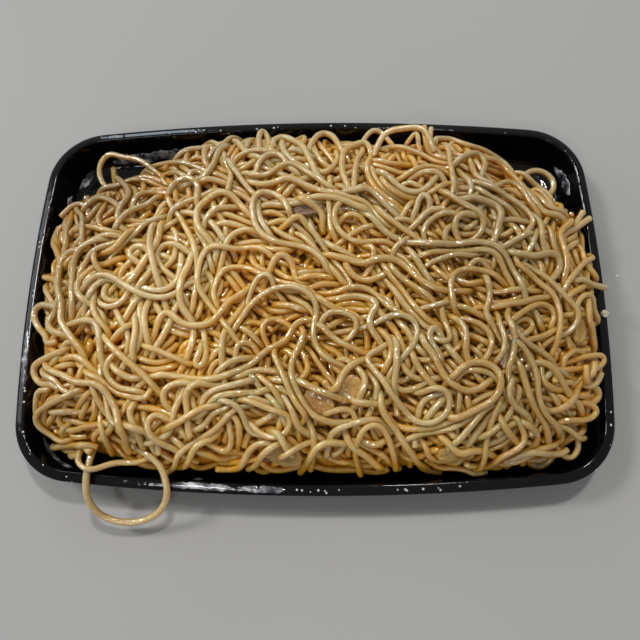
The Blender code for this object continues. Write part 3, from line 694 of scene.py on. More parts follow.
# Noodles that show on top, as columns and rows of the photograph: a later one lies over an earlier one
STRANDS_SEEN = {
    # far left corner
    "corner_stub": ((110, 163), (111, 170), (113, 178), (115, 186), (119, 194)),
    "corner_hanging": ((69, 208), (67, 216), (65, 225), (64, 234), (66, 243)),
    "corner_arc_low": ((80, 221), (73, 224), (68, 230)),
    "corner_bow": ((90, 203), (94, 198), (101, 196), (108, 198), (115, 201)),
    "corner_column": ((81, 212), (82, 220), (82, 229), (81, 238)),
    "corner_inner": ((98, 223), (95, 217), (96, 211), (101, 208)),
    "corner_shelf": ((90, 225), (98, 226), (106, 228), (114, 230)),
    "corner_s": ((116, 179), (123, 182), (127, 189), (126, 197), (120, 203), (116, 210), (115, 217),
                 (118, 225)),
    "corner_floor_1": ((125, 216), (134, 218), (145, 217), (157, 213)),
    "corner_floor_2": ((127, 223), (137, 222), (148, 219), (158, 216)),
    "corner_arch": ((131, 204), (133, 196), (139, 191), (147, 187), (156, 187), (166, 188)),
    "corner_rise": ((118, 223), (120, 216), (126, 211), (134, 207), (143, 202), (151, 196), (157, 190)),
    "corner_fold": ((153, 168), (160, 170), (166, 174), (171, 180)),
    "corner_diagonal": ((118, 241), (126, 236), (134, 230), (142, 223), (150, 219), (158, 217)),
    "far_top_1": ((150, 163), (158, 161), (166, 160), (175, 160), (184, 161), (193, 163), (202, 166),
                  (209, 169)),
    "far_top_2": ((153, 167), (161, 167), (170, 168), (179, 170), (186, 175)),
    "far_top_hump": ((188, 176), (190, 170), (195, 168), (201, 170), (205, 174)),
    # far side
    "crest_1": ((204, 156), (203, 150), (206, 145), (211, 144), (214, 149), (218, 153)),
    "crest_2": ((213, 148), (217, 145), (221, 143)),
    "crest_stub": ((238, 141), (242, 146), (248, 149)),
    "crest_ear": ((259, 147), (258, 139), (261, 132), (265, 132), (268, 138), (267, 145), (262, 149)),
    "crest_bow": ((270, 142), (277, 138), (285, 137), (293, 140), (301, 144), (306, 151), (310, 159),
                  (314, 167)),
    "crest_inner": ((281, 141), (283, 149), (288, 156), (295, 162)),
    "crest_ring": ((313, 141), (315, 149), (319, 156), (325, 162), (331, 165)),
    "crest_ring_2": ((319, 140), (324, 146), (330, 152), (335, 157)),
    "crest_arc": ((312, 141), (316, 136), (323, 133), (331, 134), (337, 139), (341, 147)),
    "crest_dip": ((320, 172), (326, 171), (332, 166), (336, 160), (339, 153)),
    "crest_band": ((344, 142), (354, 141), (364, 142), (374, 144), (384, 142), (394, 142), (405, 144),
                   (416, 147), (427, 150), (437, 155), (447, 159)),
    "crest_fold_1": ((405, 141), (410, 135), (416, 131), (419, 136), (419, 144)),
    "crest_top_arc": ((361, 141), (367, 134), (373, 130), (381, 131), (389, 134), (396, 139)),
    "crest_wave": ((378, 161), (386, 164), (395, 167), (404, 169)),
    "crest_wave_2": ((377, 155), (386, 159), (395, 159), (405, 157)),
    "crest_small": ((413, 152), (416, 159), (420, 166)),
    "far_cross": ((196, 178), (203, 175), (209, 168), (213, 161), (216, 155)),
    "far_level": ((200, 178), (208, 177), (217, 178), (226, 181), (232, 183)),
    "far_drop": ((223, 154), (225, 161), (228, 167), (231, 173), (230, 180), (227, 188)),
    "far_arch": ((230, 163), (232, 157), (238, 152), (247, 150), (257, 150), (267, 151), (276, 154)),
    "far_long_diagonal": ((229, 163), (234, 168), (240, 176), (246, 184), (253, 192)),
    "far_small_arch": ((254, 172), (257, 165), (262, 159), (270, 155), (278, 154), (284, 158), (287, 162)),
    "far_s_1": ((276, 190), (279, 185), (284, 181)),
    "far_s_2": ((283, 191), (288, 187), (292, 182)),
    "far_wave": ((264, 183), (272, 181), (279, 178), (287, 177), (295, 179), (304, 183), (314, 187),
                 (324, 190), (334, 192), (345, 195), (356, 198), (366, 201), (373, 207), (378, 215)),
    "far_long_top": ((242, 173), (250, 174), (259, 175), (267, 173), (275, 168), (283, 164), (291, 163),
                     (299, 165), (306, 171), (314, 176), (322, 181), (331, 188)),
    "far_band": ((287, 199), (295, 197), (305, 197), (317, 195), (330, 197), (341, 199), (352, 203),
                 (362, 207), (371, 209)),
    "far_band_low": ((262, 201), (272, 201), (282, 203), (293, 203), (303, 202)),
    "far_end": ((301, 201), (307, 203), (314, 206)),
    "far_tall_loop": ((350, 186), (345, 179), (342, 171), (342, 161), (343, 151), (348, 146), (357, 144),
                      (365, 141), (371, 146), (371, 153), (367, 160), (367, 168), (371, 177), (377, 186)),
    "far_upright": ((354, 193), (354, 182), (355, 170), (357, 157)),
    "far_lower_through": ((373, 168), (377, 176), (383, 183), (389, 190)),
    "far_broad_2": ((410, 173), (420, 170), (431, 169), (441, 172), (447, 179)),
    "far_broad_arch": ((397, 177), (405, 172), (413, 168), (422, 164), (432, 163), (442, 165), (450, 168)),
    "far_mid_hook": ((402, 184), (406, 178), (413, 179), (420, 182), (428, 185)),
    "far_bowl_1": ((381, 176), (386, 184), (393, 190), (401, 193), (411, 194), (421, 192), (431, 190),
                   (440, 185), (450, 181), (460, 180)),
    "far_bowl_2": ((377, 170), (384, 171), (390, 176), (396, 183), (404, 188), (414, 190), (424, 189),
                   (431, 182)),
    "far_bridge_2": ((358, 187), (366, 186), (374, 188), (380, 194), (386, 201)),
    "far_bridge": ((350, 194), (358, 191), (365, 188), (372, 190), (378, 195), (384, 202), (391, 208),
                   (398, 214), (403, 220)),
    "far_twin_1": ((424, 127), (426, 134), (428, 141), (432, 148), (440, 152), (450, 154)),
    "far_twin_2": ((431, 129), (431, 136), (434, 143), (440, 148)),
    "far_right_fall": ((443, 144), (448, 143), (450, 151), (451, 161), (453, 170), (452, 178)),
    "far_edge_arc": ((433, 137), (442, 136), (452, 135), (462, 138), (472, 141), (482, 143), (491, 147),
                     (499, 151), (507, 156), (514, 163), (521, 170), (528, 178), (535, 186), (541, 193),
                     (547, 200), (553, 207)),
    "far_edge_arc_2": ((489, 153), (498, 155), (506, 160), (512, 166), (519, 173), (525, 181), (530, 189),
                       (535, 197), (541, 204), (546, 211)),
    "far_hook": ((455, 159), (463, 156), (471, 152), (479, 151), (485, 156), (486, 164), (483, 171),
                 (480, 179), (482, 187), (478, 193), (472, 198)),
    "far_right_small": ((464, 174), (469, 180), (473, 187)),
    "far_right_small_2": ((473, 163), (475, 171), (479, 178)),
    "far_right_arch": ((500, 184), (505, 178), (513, 178), (520, 182), (525, 189), (530, 197)),
    "far_right_low": ((481, 193), (491, 197), (501, 202), (510, 207), (517, 213)),
    "far_right_short": ((527, 222), (518, 219), (510, 217), (505, 220)),
    "far_right_s": ((461, 200), (469, 198), (478, 200), (487, 203), (496, 205), (501, 211), (501, 218),
                    (498, 224)),
    "far_right_long": ((482, 184), (491, 187), (500, 191), (508, 195), (516, 200), (524, 206), (531, 212),
                       (535, 219), (532, 227)),
    "right_stub_1": ((583, 212), (580, 218), (577, 226)),
    "right_stub_2": ((589, 219), (583, 223), (575, 228), (567, 230), (564, 237), (565, 245), (568, 252),
                     (572, 260), (576, 267)),
    "right_fall_1": ((586, 230), (586, 241), (585, 252)),
    # left third
    "left_upper": ((92, 237), (101, 233), (110, 233), (120, 235)),
    "left_diagonal": ((129, 229), (122, 237), (115, 245), (108, 249), (98, 249)),
    "left_short": ((172, 208), (179, 203), (186, 198), (191, 195)),
    "left_edge_1": ((40, 276), (47, 275), (54, 277)),
    "left_edge_2": ((42, 284), (44, 292), (48, 299), (51, 308)),
    "left_edge_3": ((53, 249), (55, 256), (58, 262)),
    "left_edge_loop": ((50, 304), (43, 303), (37, 307), (34, 314), (35, 322), (38, 329), (43, 334)),
    "left_inner": ((53, 311), (48, 315), (46, 321), (47, 327), (52, 331), (59, 332)),
    "left_arch_60": ((58, 349), (60, 342), (66, 338), (72, 341)),
    "left_column_1": ((75, 248), (66, 251), (60, 258), (58, 268), (57, 279), (58, 291), (61, 302),
                      (59, 313), (60, 322), (66, 331), (72, 339), (78, 348), (82, 355), (82, 362),
                      (78, 369), (76, 376)),
    "left_column_2": ((97, 237), (87, 243), (79, 250), (74, 259), (71, 270), (70, 282), (71, 293),
                      (72, 303)),
    "left_fan_1": ((105, 243), (96, 247), (89, 253), (84, 261)),
    "left_fan_2": ((92, 262), (86, 268), (80, 275), (76, 284), (77, 293), (83, 300), (90, 302)),
    "left_short_column": ((92, 254), (94, 262), (97, 269), (103, 273)),
    "left_arc_116": ((116, 277), (117, 268), (121, 262), (128, 258)),
    "left_slope_126": ((119, 279), (126, 273), (132, 269), (139, 266)),
    "left_loop_130": ((147, 247), (141, 243), (134, 242), (127, 245), (125, 251), (129, 256), (136, 258)),
    "left_side_1": ((70, 322), (80, 320), (89, 318), (95, 322), (98, 330), (99, 340), (99, 349)),
    "left_stem_1": ((94, 290), (93, 300), (93, 309), (95, 318)),
    "left_stem_2": ((115, 310), (119, 319), (124, 327), (127, 335), (127, 343), (125, 351)),
    "left_stem_3": ((139, 299), (138, 308), (138, 316), (140, 325), (139, 334), (137, 342), (133, 350)),
    "left_stem_4": ((147, 299), (144, 308), (143, 317), (144, 327), (145, 337)),
    "left_stem_5": ((127, 311), (132, 304), (136, 297)),
    "left_stem_6": ((131, 352), (133, 341), (134, 331), (135, 321)),
    "left_short_end": ((111, 339), (116, 334), (121, 329)),
    "left_floor_1": ((140, 357), (148, 361), (158, 361)),
    "left_floor_2": ((140, 366), (148, 369), (158, 368)),
    "left_wide": ((143, 346), (152, 348), (161, 351), (170, 356), (180, 357)),
    "left_lines": ((156, 341), (161, 333), (166, 326), (170, 318)),
    "left_loop_105": ((107, 281), (103, 287), (102, 295), (105, 301), (111, 300)),
    "left_sag": ((100, 303), (104, 307), (111, 307), (118, 303), (123, 297), (128, 290)),
    "left_wave_low": ((90, 298), (92, 290), (96, 284), (102, 279), (109, 277), (117, 280)),
    "left_long_wave": ((90, 283), (92, 277), (99, 275), (107, 275), (115, 279), (123, 284), (130, 289),
                       (138, 293), (147, 296), (157, 297), (167, 296), (175, 292), (181, 285)),
    "left_under_wave": ((138, 285), (146, 288), (155, 290), (164, 289), (171, 284), (177, 277), (178, 268)),
    "rising_1": ((178, 212), (182, 221), (187, 230), (192, 240), (195, 250), (196, 260), (196, 271),
                 (195, 285), (192, 298)),
    "rising_2": ((198, 232), (203, 240), (206, 247)),
    "rising_3": ((189, 260), (184, 270), (180, 282), (179, 296), (182, 309), (190, 317), (193, 325),
                 (190, 343)),
    "left_ring_in": ((173, 246), (173, 254), (169, 260), (163, 262)),
    "left_ring": ((186, 249), (178, 244), (170, 241), (162, 241), (156, 245), (154, 252), (156, 260),
                  (162, 267), (169, 273)),
    "pale_3": ((153, 262), (149, 270), (144, 277), (138, 284)),
    "pale_2": ((159, 222), (158, 234), (153, 246), (147, 254), (142, 262), (137, 270), (132, 279)),
    "pale_1": ((153, 222), (150, 231), (149, 242), (151, 253), (153, 263), (155, 273), (158, 284)),
    # middle
    "middle_hook": ((216, 210), (221, 216), (225, 224), (225, 232), (222, 239), (217, 243)),
    "middle_slant": ((202, 214), (208, 218), (214, 224), (219, 231), (222, 239)),
    "middle_parallel_1": ((223, 211), (231, 213), (239, 216), (247, 218), (254, 220)),
    "middle_parallel_2": ((222, 220), (230, 221), (238, 223), (247, 224)),
    "middle_parallel_3": ((238, 190), (245, 194), (252, 199)),
    "middle_low_arch": ((225, 243), (229, 235), (235, 230), (244, 227), (255, 226)),
    "middle_small_arch": ((206, 216), (210, 210), (215, 206), (223, 205), (231, 204), (238, 203)),
    "middle_hook_left": ((169, 190), (173, 182), (181, 179), (190, 178), (197, 182), (198, 188), (195, 194),
                         (195, 200)),
    "middle_left_arch": ((200, 232), (197, 224), (195, 216), (196, 208), (201, 201), (208, 195), (216, 191),
                         (225, 191), (233, 195), (239, 202), (245, 209), (252, 214)),
    "middle_right_slant": ((267, 219), (276, 227), (287, 234), (300, 239), (309, 241)),
    "middle_right_arc": ((262, 208), (268, 207), (275, 208), (282, 211), (288, 216)),
    "middle_right_wave": ((271, 220), (278, 217), (286, 217), (294, 222), (302, 227), (310, 234),
                          (316, 243)),
    "middle_right_loop": ((292, 220), (295, 216), (300, 215), (304, 219), (306, 226)),
    "middle_right_hook": ((268, 269), (273, 257), (279, 251), (287, 253), (293, 263), (294, 275)),
    "middle_fan_1": ((300, 287), (308, 285), (317, 281), (325, 277)),
    "middle_fan_2": ((298, 270), (307, 268), (316, 266), (325, 266)),
    "middle_fan_3": ((300, 275), (309, 273), (318, 272), (327, 273)),
    "middle_thick_1": ((302, 232), (309, 240), (317, 249), (325, 258), (333, 267), (340, 275), (346, 283)),
    "middle_thick_2": ((308, 226), (314, 232), (321, 240), (328, 249), (335, 258), (342, 266), (348, 274),
                       (352, 283)),
    "middle_left_rise": ((221, 371), (221, 358), (221, 343), (222, 333), (226, 322), (232, 315), (238, 307),
                         (243, 298)),
    "middle_hairpin": ((202, 330), (204, 342), (204, 353), (203, 362), (197, 367), (192, 363), (195, 356),
                       (201, 350)),
    "middle_small_ring": ((236, 356), (234, 349), (237, 342), (243, 340), (250, 341), (255, 345),
                          (256, 352)),
    "middle_inner_arch": ((268, 345), (262, 334), (260, 323), (265, 317), (275, 315), (285, 319),
                          (292, 326)),
    "middle_fold": ((222, 368), (227, 362), (233, 359), (241, 359)),
    "middle_wave": ((231, 332), (200, 291), (197, 281), (198, 269), (201, 258), (205, 250), (211, 246),
                    (221, 246), (231, 248), (242, 245), (252, 243), (262, 246), (269, 252)),
    "middle_arch": ((214, 300), (211, 292), (214, 282), (218, 271), (225, 265), (238, 262), (249, 264),
                    (258, 270), (267, 273), (280, 279), (295, 282), (309, 287)),
    "middle_cross": ((244, 300), (249, 290), (252, 282), (258, 274), (266, 271), (274, 278)),
    "middle_sag": ((152, 331), (155, 323), (159, 315), (164, 309), (170, 312), (175, 318), (182, 323),
                   (192, 325), (203, 324), (213, 319), (219, 310), (225, 301), (234, 294), (245, 291)),
    "middle_big_arch": ((246, 306), (254, 297), (264, 290), (275, 286), (287, 285), (301, 288), (311, 294),
                        (317, 304), (316, 314), (313, 324), (313, 334), (315, 343), (321, 352), (329, 359),
                        (338, 363)),
    "middle_ring_right": ((303, 356), (308, 361), (309, 368), (305, 374), (299, 376)),
    "middle_bright_long": ((122, 407), (127, 399), (131, 391), (137, 383), (145, 378), (155, 374),
                           (166, 374), (178, 375), (190, 377), (202, 378), (214, 378), (225, 375),
                           (236, 370), (246, 365), (255, 360), (261, 353), (268, 346), (277, 342),
                           (285, 338), (290, 331), (292, 323), (299, 319), (308, 317)),
    "middle_inner_long": ((257, 200), (257, 208), (259, 216), (263, 223), (268, 230)),
    "middle_sweep": ((290, 214), (287, 206), (283, 199), (277, 193), (269, 190), (261, 191), (255, 195),
                     (252, 202), (252, 210), (253, 218), (256, 226), (261, 232), (268, 237), (277, 240),
                     (287, 241), (297, 243), (308, 247), (318, 254), (327, 263)),
    # right of the middle
    "right_ring_340": ((339, 217), (344, 212), (352, 210), (360, 213), (368, 218)),
    "right_slope_357": ((350, 231), (357, 227), (364, 224), (371, 222)),
    "right_thin": ((329, 204), (330, 212), (330, 220)),
    "right_vertical": ((339, 203), (334, 211), (334, 219), (338, 227), (344, 233), (353, 238), (363, 239),
                       (373, 237), (383, 237)),
    "right_ring_425": ((417, 210), (418, 200), (421, 193), (427, 192), (431, 197), (431, 205)),
    "right_rise_407": ((403, 212), (408, 205), (412, 198)),
    "right_short_412": ((404, 218), (412, 218), (420, 222), (424, 229)),
    "right_arc_432": ((419, 220), (424, 212), (432, 208), (441, 206), (452, 209)),
    "right_arc_440": ((425, 225), (430, 218), (438, 213), (447, 211), (458, 212)),
    "right_sweep_2": ((380, 212), (389, 218), (397, 224), (406, 229), (415, 234), (424, 241)),
    "right_ring_464": ((464, 241), (457, 233), (454, 223), (458, 215), (466, 213), (475, 216)),
    "right_pale_long": ((445, 192), (452, 197), (461, 203), (470, 207), (478, 212), (484, 219), (484, 228),
                        (478, 235), (470, 241)),
    "right_second": ((423, 253), (430, 249), (442, 249), (456, 249), (470, 249), (484, 248), (494, 251),
                     (500, 258), (504, 267), (509, 276)),
    "right_great_sweep": ((370, 213), (376, 220), (383, 227), (391, 233), (400, 237), (411, 240),
                          (423, 242), (436, 243), (450, 243), (463, 242), (475, 241), (486, 242),
                          (496, 246), (504, 252), (510, 259), (514, 268), (520, 277), (524, 286),
                          (526, 297)),
    "right_short_395": ((406, 240), (399, 241), (394, 247), (392, 254)),
    "right_band_345": ((329, 244), (337, 245), (345, 249), (353, 253), (361, 257), (370, 260)),
    "right_curve_373": ((372, 241), (375, 248), (373, 257)),
    "right_bowl_365": ((345, 261), (350, 270), (356, 275), (364, 278), (372, 277), (380, 274), (387, 270)),
    "right_fall_1b": ((400, 250), (407, 257), (414, 263), (420, 270)),
    "right_fall_2": ((411, 247), (417, 256), (423, 265), (429, 274), (436, 283)),
    "right_fall_3": ((388, 277), (393, 285), (399, 294), (405, 303), (413, 311)),
    "right_fall_4": ((383, 262), (389, 271), (396, 279), (403, 287), (409, 296), (416, 305), (423, 313),
                     (431, 321)),
    "right_fall_5": ((392, 268), (401, 275), (410, 281), (419, 287), (428, 293), (438, 301)),
    "right_long_wave": ((331, 252), (340, 255), (349, 257), (358, 261), (366, 262), (374, 259), (383, 256),
                        (393, 257), (402, 260), (410, 267), (418, 275), (426, 282), (434, 286), (443, 288),
                        (453, 288)),
    "right_arc_360": ((334, 290), (343, 286), (353, 285), (363, 285), (372, 289), (379, 295), (385, 302),
                      (393, 309)),
    "right_fan_330": ((321, 297), (327, 303), (336, 306), (346, 308), (356, 312)),
    "right_parallel_1": ((380, 327), (386, 332), (391, 340), (394, 350)),
    "right_parallel_2": ((390, 321), (396, 327), (401, 336), (403, 347)),
    "right_parallel_3": ((401, 322), (407, 327), (412, 334)),
    "right_inner_stub": ((337, 318), (331, 323), (326, 327)),
    "right_inner_ring": ((320, 319), (326, 312), (334, 310), (343, 311), (352, 314), (358, 320), (357, 328),
                         (351, 335), (343, 340)),
    "right_straight": ((318, 321), (325, 329), (333, 336), (342, 342), (351, 346), (362, 349)),
    "right_bright_hook": ((337, 296), (346, 294), (356, 293), (366, 295), (374, 299), (379, 303),
                          (374, 309), (369, 317), (369, 325), (375, 333), (382, 340), (386, 348)),
    "right_loop_413": ((376, 322), (384, 317), (394, 314), (404, 314), (412, 317), (417, 323), (418, 332),
                       (416, 341), (410, 349), (403, 356), (396, 363), (391, 370)),
    "right_pale_430": ((430, 257), (436, 264), (442, 271), (450, 277)),
    "right_pale_447": ((430, 260), (438, 257), (446, 255), (455, 253), (464, 253), (473, 255)),
    "right_arch_436": ((430, 342), (429, 332), (432, 325), (438, 327), (441, 335), (446, 343), (452, 351)),
    "right_hairpin": ((447, 299), (441, 303), (443, 311), (446, 321), (450, 330), (452, 338), (447, 343),
                      (440, 340)),
    "right_small_450": ((442, 304), (447, 299), (454, 300), (462, 304)),
    "right_flat_475": ((455, 303), (465, 306), (475, 309), (484, 316)),
    "right_bowl_470": ((460, 278), (467, 282), (475, 282), (483, 277)),
    "right_small_479": ((471, 265), (474, 258), (481, 258), (489, 264)),
    "right_box": ((454, 301), (451, 290), (451, 280), (454, 272), (462, 268), (472, 268), (482, 269),
                  (492, 271), (499, 276)),
    "right_level_1": ((493, 288), (502, 290), (511, 288), (521, 290)),
    "right_level_2": ((490, 297), (500, 300), (510, 299), (521, 297)),
    "right_level_3": ((495, 305), (505, 303), (515, 302), (527, 302)),
    "right_pale_s": ((487, 275), (490, 284), (492, 294), (490, 301), (486, 308), (488, 315), (493, 322),
                     (499, 329)),
    "right_fall_536": ((536, 232), (534, 241), (530, 249)),
    "right_fall_542": ((541, 231), (542, 240), (546, 249)),
    "right_fall_553": ((552, 231), (553, 240), (556, 250)),
    "right_fall_562": ((560, 231), (562, 242), (565, 252), (567, 262), (567, 272)),
    "right_slope_519": ((507, 246), (514, 240), (523, 236), (532, 232)),
    "right_hook_587": ((587, 270), (588, 278), (585, 285), (578, 290), (569, 293)),
    "right_edge_1": ((589, 271), (594, 277), (597, 284)),
    "right_edge_stub": ((587, 286), (595, 289), (603, 292)),
    "right_edge_loop": ((576, 305), (580, 298), (586, 294), (592, 299), (592, 308)),
    "right_edge_drop": ((587, 303), (588, 312), (587, 320)),
    "right_low_bar": ((523, 341), (532, 338), (541, 336), (550, 333), (557, 327)),
    "right_inner_528": ((512, 325), (519, 319), (527, 316), (535, 320), (535, 326), (529, 331), (521, 336)),
    "right_pale_low": ((515, 332), (522, 340), (530, 345), (539, 349), (547, 353), (552, 359)),
    "right_arch_545": ((509, 323), (516, 317), (524, 311), (532, 306), (541, 303), (550, 304), (556, 311),
                       (557, 320)),
    "right_diagonal_up": ((593, 260), (586, 261), (580, 267), (574, 274), (569, 281), (564, 289)),
    "right_arch_550": ((512, 252), (521, 253), (530, 256), (538, 256), (546, 253), (555, 254), (561, 260),
                       (561, 268), (557, 274), (551, 279)),
    "right_diagonal_1": ((531, 266), (538, 270), (545, 276), (551, 282), (557, 288), (562, 295), (568, 302),
                         (574, 308), (578, 315), (576, 324), (571, 331), (565, 333)),
    "right_diagonal_2": ((517, 264), (525, 268), (532, 273), (538, 280), (544, 286), (550, 290), (555, 297),
                         (558, 306), (560, 316), (560, 327), (558, 337)),
    # near left
    "near_edge_hook": ((56, 351), (48, 355), (40, 360), (34, 366), (33, 374), (36, 381), (43, 384),
                       (50, 380)),
    "near_edge_column": ((39, 387), (35, 396), (35, 406)),
    "near_arc_45": ((42, 407), (44, 399), (50, 395), (58, 395)),
    "near_left_small_1": ((62, 356), (70, 354), (78, 357), (84, 361)),
    "near_left_small_2": ((50, 413), (56, 418), (63, 421)),
    "near_left_small_3": ((58, 449), (66, 450), (74, 450)),
    "near_left_small_4": ((80, 448), (86, 444), (90, 438)),
    "near_left_small_5": ((46, 447), (54, 445), (62, 444), (72, 443)),
    "near_left_cross": ((54, 378), (57, 386), (63, 391), (71, 394)),
    "near_left_edge": ((68, 395), (59, 399), (50, 403), (42, 408), (36, 415), (36, 423), (41, 430),
                       (48, 434)),
    "near_left_rise": ((82, 396), (75, 402), (70, 408), (66, 415), (65, 422)),
    "near_left_stem_1": ((96, 395), (95, 404), (94, 413), (95, 421), (99, 427)),
    "near_left_stem_2": ((106, 405), (105, 412), (108, 419), (115, 424)),
    "near_left_stem_3": ((126, 409), (130, 418), (134, 426), (140, 434)),
    "near_left_stem_4": ((138, 410), (141, 418), (144, 427)),
    "near_left_stem_5": ((90, 385), (92, 392), (95, 398)),
    "near_left_bar": ((123, 425), (132, 428), (141, 430), (150, 434)),
    "near_left_bowl": ((122, 372), (126, 378), (133, 379), (140, 375)),
    "near_curve": ((82, 372), (91, 375), (99, 378), (104, 384), (110, 390), (118, 393), (128, 395)),
    "near_hook_106": ((115, 351), (108, 358), (104, 366), (105, 374), (109, 381), (116, 386), (124, 389),
                      (132, 388)),
    "near_diagonal": ((104, 338), (111, 346), (118, 353), (125, 359), (132, 365), (139, 371), (147, 377)),
    "near_wave_long": ((50, 371), (59, 373), (67, 378), (75, 382), (85, 382), (95, 383), (102, 388),
                       (107, 396), (112, 404), (116, 413), (119, 422), (122, 431), (127, 439)),
    "near_vertical": ((92, 411), (85, 418), (79, 424), (78, 433), (78, 442), (76, 451), (71, 456),
                      (64, 456)),
    "near_bright_wave": ((139, 404), (147, 407), (154, 407), (161, 410), (169, 414)),
    "near_arc_165": ((184, 380), (175, 382), (166, 385), (161, 392), (162, 400), (166, 409)),
    "near_173": ((181, 394), (176, 402), (173, 411), (172, 421), (170, 431), (165, 437), (158, 438)),
    "near_s_150": ((160, 413), (151, 413), (147, 420), (148, 429), (152, 437), (158, 443), (167, 446),
                   (177, 450)),
    # near middle
    "near_185": ((200, 380), (191, 385), (185, 391), (184, 400), (187, 409)),
    "near_flat_265": ((250, 369), (260, 368), (271, 369), (282, 371)),
    "near_fall_262": ((258, 374), (264, 380), (271, 386), (277, 393), (280, 402)),
    "near_fall_255": ((252, 373), (255, 382), (262, 389), (269, 396), (275, 403), (281, 410)),
    "near_gold_1": ((202, 398), (205, 392), (213, 389), (223, 387), (233, 385), (243, 382), (253, 380)),
    "near_gold_2": ((207, 405), (211, 399), (218, 395), (228, 394), (239, 393), (250, 392), (262, 392)),
    "near_short_262": ((250, 396), (258, 399), (266, 403)),
    "near_diagonal_190": ((171, 427), (180, 422), (188, 416), (196, 411), (205, 406)),
    "near_u_228": ((211, 443), (216, 449), (223, 452), (229, 449), (231, 441), (230, 433), (229, 426)),
    "near_lens": ((212, 409), (218, 411), (226, 408), (232, 403)),
    "near_s_240": ((223, 400), (232, 403), (239, 407), (243, 414), (245, 422), (247, 430), (253, 434),
                   (262, 434)),
    "near_230_240": ((231, 412), (236, 418), (240, 426)),
    "near_long_arc": ((176, 457), (182, 451), (188, 445), (195, 439), (203, 435), (211, 431), (219, 425),
                      (225, 418), (232, 411)),
    "near_stem_195": ((190, 455), (194, 448), (199, 441)),
    "near_curl_250": ((244, 459), (247, 450), (253, 445), (261, 442), (270, 441)),
    "near_curl_270": ((261, 457), (268, 451), (274, 447), (280, 442)),
    "near_cross_263": ((252, 425), (260, 421), (267, 417), (275, 413)),
    "near_u_loop": ((249, 400), (258, 405), (267, 408), (276, 412), (286, 413), (291, 418), (290, 426),
                    (286, 433), (279, 438), (270, 438), (262, 435), (254, 429)),
    "near_298": ((294, 416), (296, 423), (300, 430), (309, 434)),
    "near_312": ((307, 419), (312, 427), (314, 436), (314, 446)),
    "near_295": ((282, 440), (286, 448), (290, 456)),
    "near_308": ((290, 453), (298, 448), (306, 443)),
    "near_wide_310": ((297, 379), (305, 384), (313, 389), (322, 393), (331, 396)),
    "near_parallel": ((303, 337), (297, 347), (292, 357), (290, 368), (292, 379), (296, 389), (301, 399),
                      (306, 408), (313, 416), (322, 421), (332, 423), (343, 422), (353, 419)),
    "near_straight": ((271, 349), (276, 360), (281, 371), (286, 382), (290, 392), (295, 402), (301, 411),
                      (308, 418)),
    "near_meat_loop": ((326, 415), (334, 411), (342, 409), (350, 408), (356, 412), (354, 418)),
    "near_arc_363": ((358, 367), (364, 374), (366, 383), (363, 392), (357, 398)),
    "near_bend": ((337, 393), (338, 384), (342, 376), (347, 369), (352, 363), (359, 361)),
    "near_drop_376": ((380, 384), (376, 393), (374, 401), (373, 409), (367, 414)),
    "near_short_365": ((357, 402), (365, 404), (373, 403)),
    "near_slope_355": ((333, 431), (343, 427), (352, 424), (362, 421), (373, 418)),
    "near_arc_330": ((311, 458), (315, 449), (322, 444), (331, 442), (340, 443), (349, 444)),
    "near_bright_350": ((347, 433), (347, 441), (353, 448), (360, 452), (369, 457)),
    "near_gap_370": ((362, 443), (369, 447), (377, 450), (384, 453)),
    "near_arc_370": ((357, 447), (359, 436), (363, 429), (370, 425), (378, 424), (384, 428), (388, 436),
                     (391, 445), (394, 456)),
    # near right
    "near_410": ((401, 391), (409, 390), (418, 386), (425, 383)),
    "near_412": ((402, 365), (406, 371), (413, 377), (422, 380)),
    "near_428": ((419, 410), (422, 401), (428, 396), (437, 394)),
    "near_436": ((431, 414), (436, 406), (441, 400)),
    "near_395": ((396, 350), (397, 360), (396, 370), (395, 380), (393, 390)),
    "near_through": ((411, 355), (417, 364), (422, 372), (428, 380), (436, 387)),
    "near_pale_s": ((421, 341), (428, 348), (434, 355), (438, 363), (441, 371), (446, 379), (453, 385),
                    (461, 389), (470, 391), (480, 388), (488, 383), (493, 376)),
    "near_level_2": ((400, 441), (408, 439), (416, 435), (425, 432), (435, 431), (446, 430), (456, 427),
                     (465, 421), (474, 416), (482, 409)),
    "near_level_1": ((391, 421), (400, 426), (410, 428), (421, 428), (432, 427), (443, 424), (453, 420)),
    "near_cross_long": ((380, 399), (381, 408), (385, 416), (391, 423), (397, 431), (402, 439), (407, 448),
                        (414, 455)),
    "near_great_loop": ((385, 345), (376, 350), (367, 353), (366, 360), (372, 367), (378, 374), (384, 382),
                        (389, 391), (395, 399), (402, 406), (408, 414), (415, 421), (423, 424), (433, 423),
                        (442, 419), (448, 411), (451, 402), (449, 394), (442, 389), (433, 387)),
    "near_right_bottom": ((452, 446), (455, 454), (461, 456), (468, 452), (477, 450), (486, 452),
                          (495, 455)),
    "near_right_edge": ((450, 466), (460, 467), (471, 468)),
    "near_thick_470": ((485, 407), (480, 416), (473, 423), (467, 431), (460, 439), (453, 446)),
    "near_thick_475": ((492, 411), (488, 420), (481, 428), (475, 436), (468, 444)),
    "near_stem_490": ((496, 410), (492, 420), (490, 430), (487, 440), (484, 448)),
    "near_510": ((514, 403), (513, 411), (507, 419), (499, 426), (492, 431)),
    "near_508": ((502, 424), (507, 432), (513, 438), (520, 445)),
    "near_bowl_520": ((518, 421), (523, 429), (526, 438), (522, 446), (514, 451), (506, 455), (498, 458)),
    "near_arc_535": ((525, 425), (533, 428), (540, 434), (540, 442), (534, 448), (525, 451)),
    "near_bottom_520": ((503, 463), (513, 463), (523, 460), (531, 455), (538, 449)),
    "near_small_545": ((538, 452), (543, 457), (550, 453)),
    "near_right_side": ((517, 360), (522, 370), (525, 381), (528, 391), (531, 401), (537, 410), (543, 418),
                        (549, 427), (549, 437)),
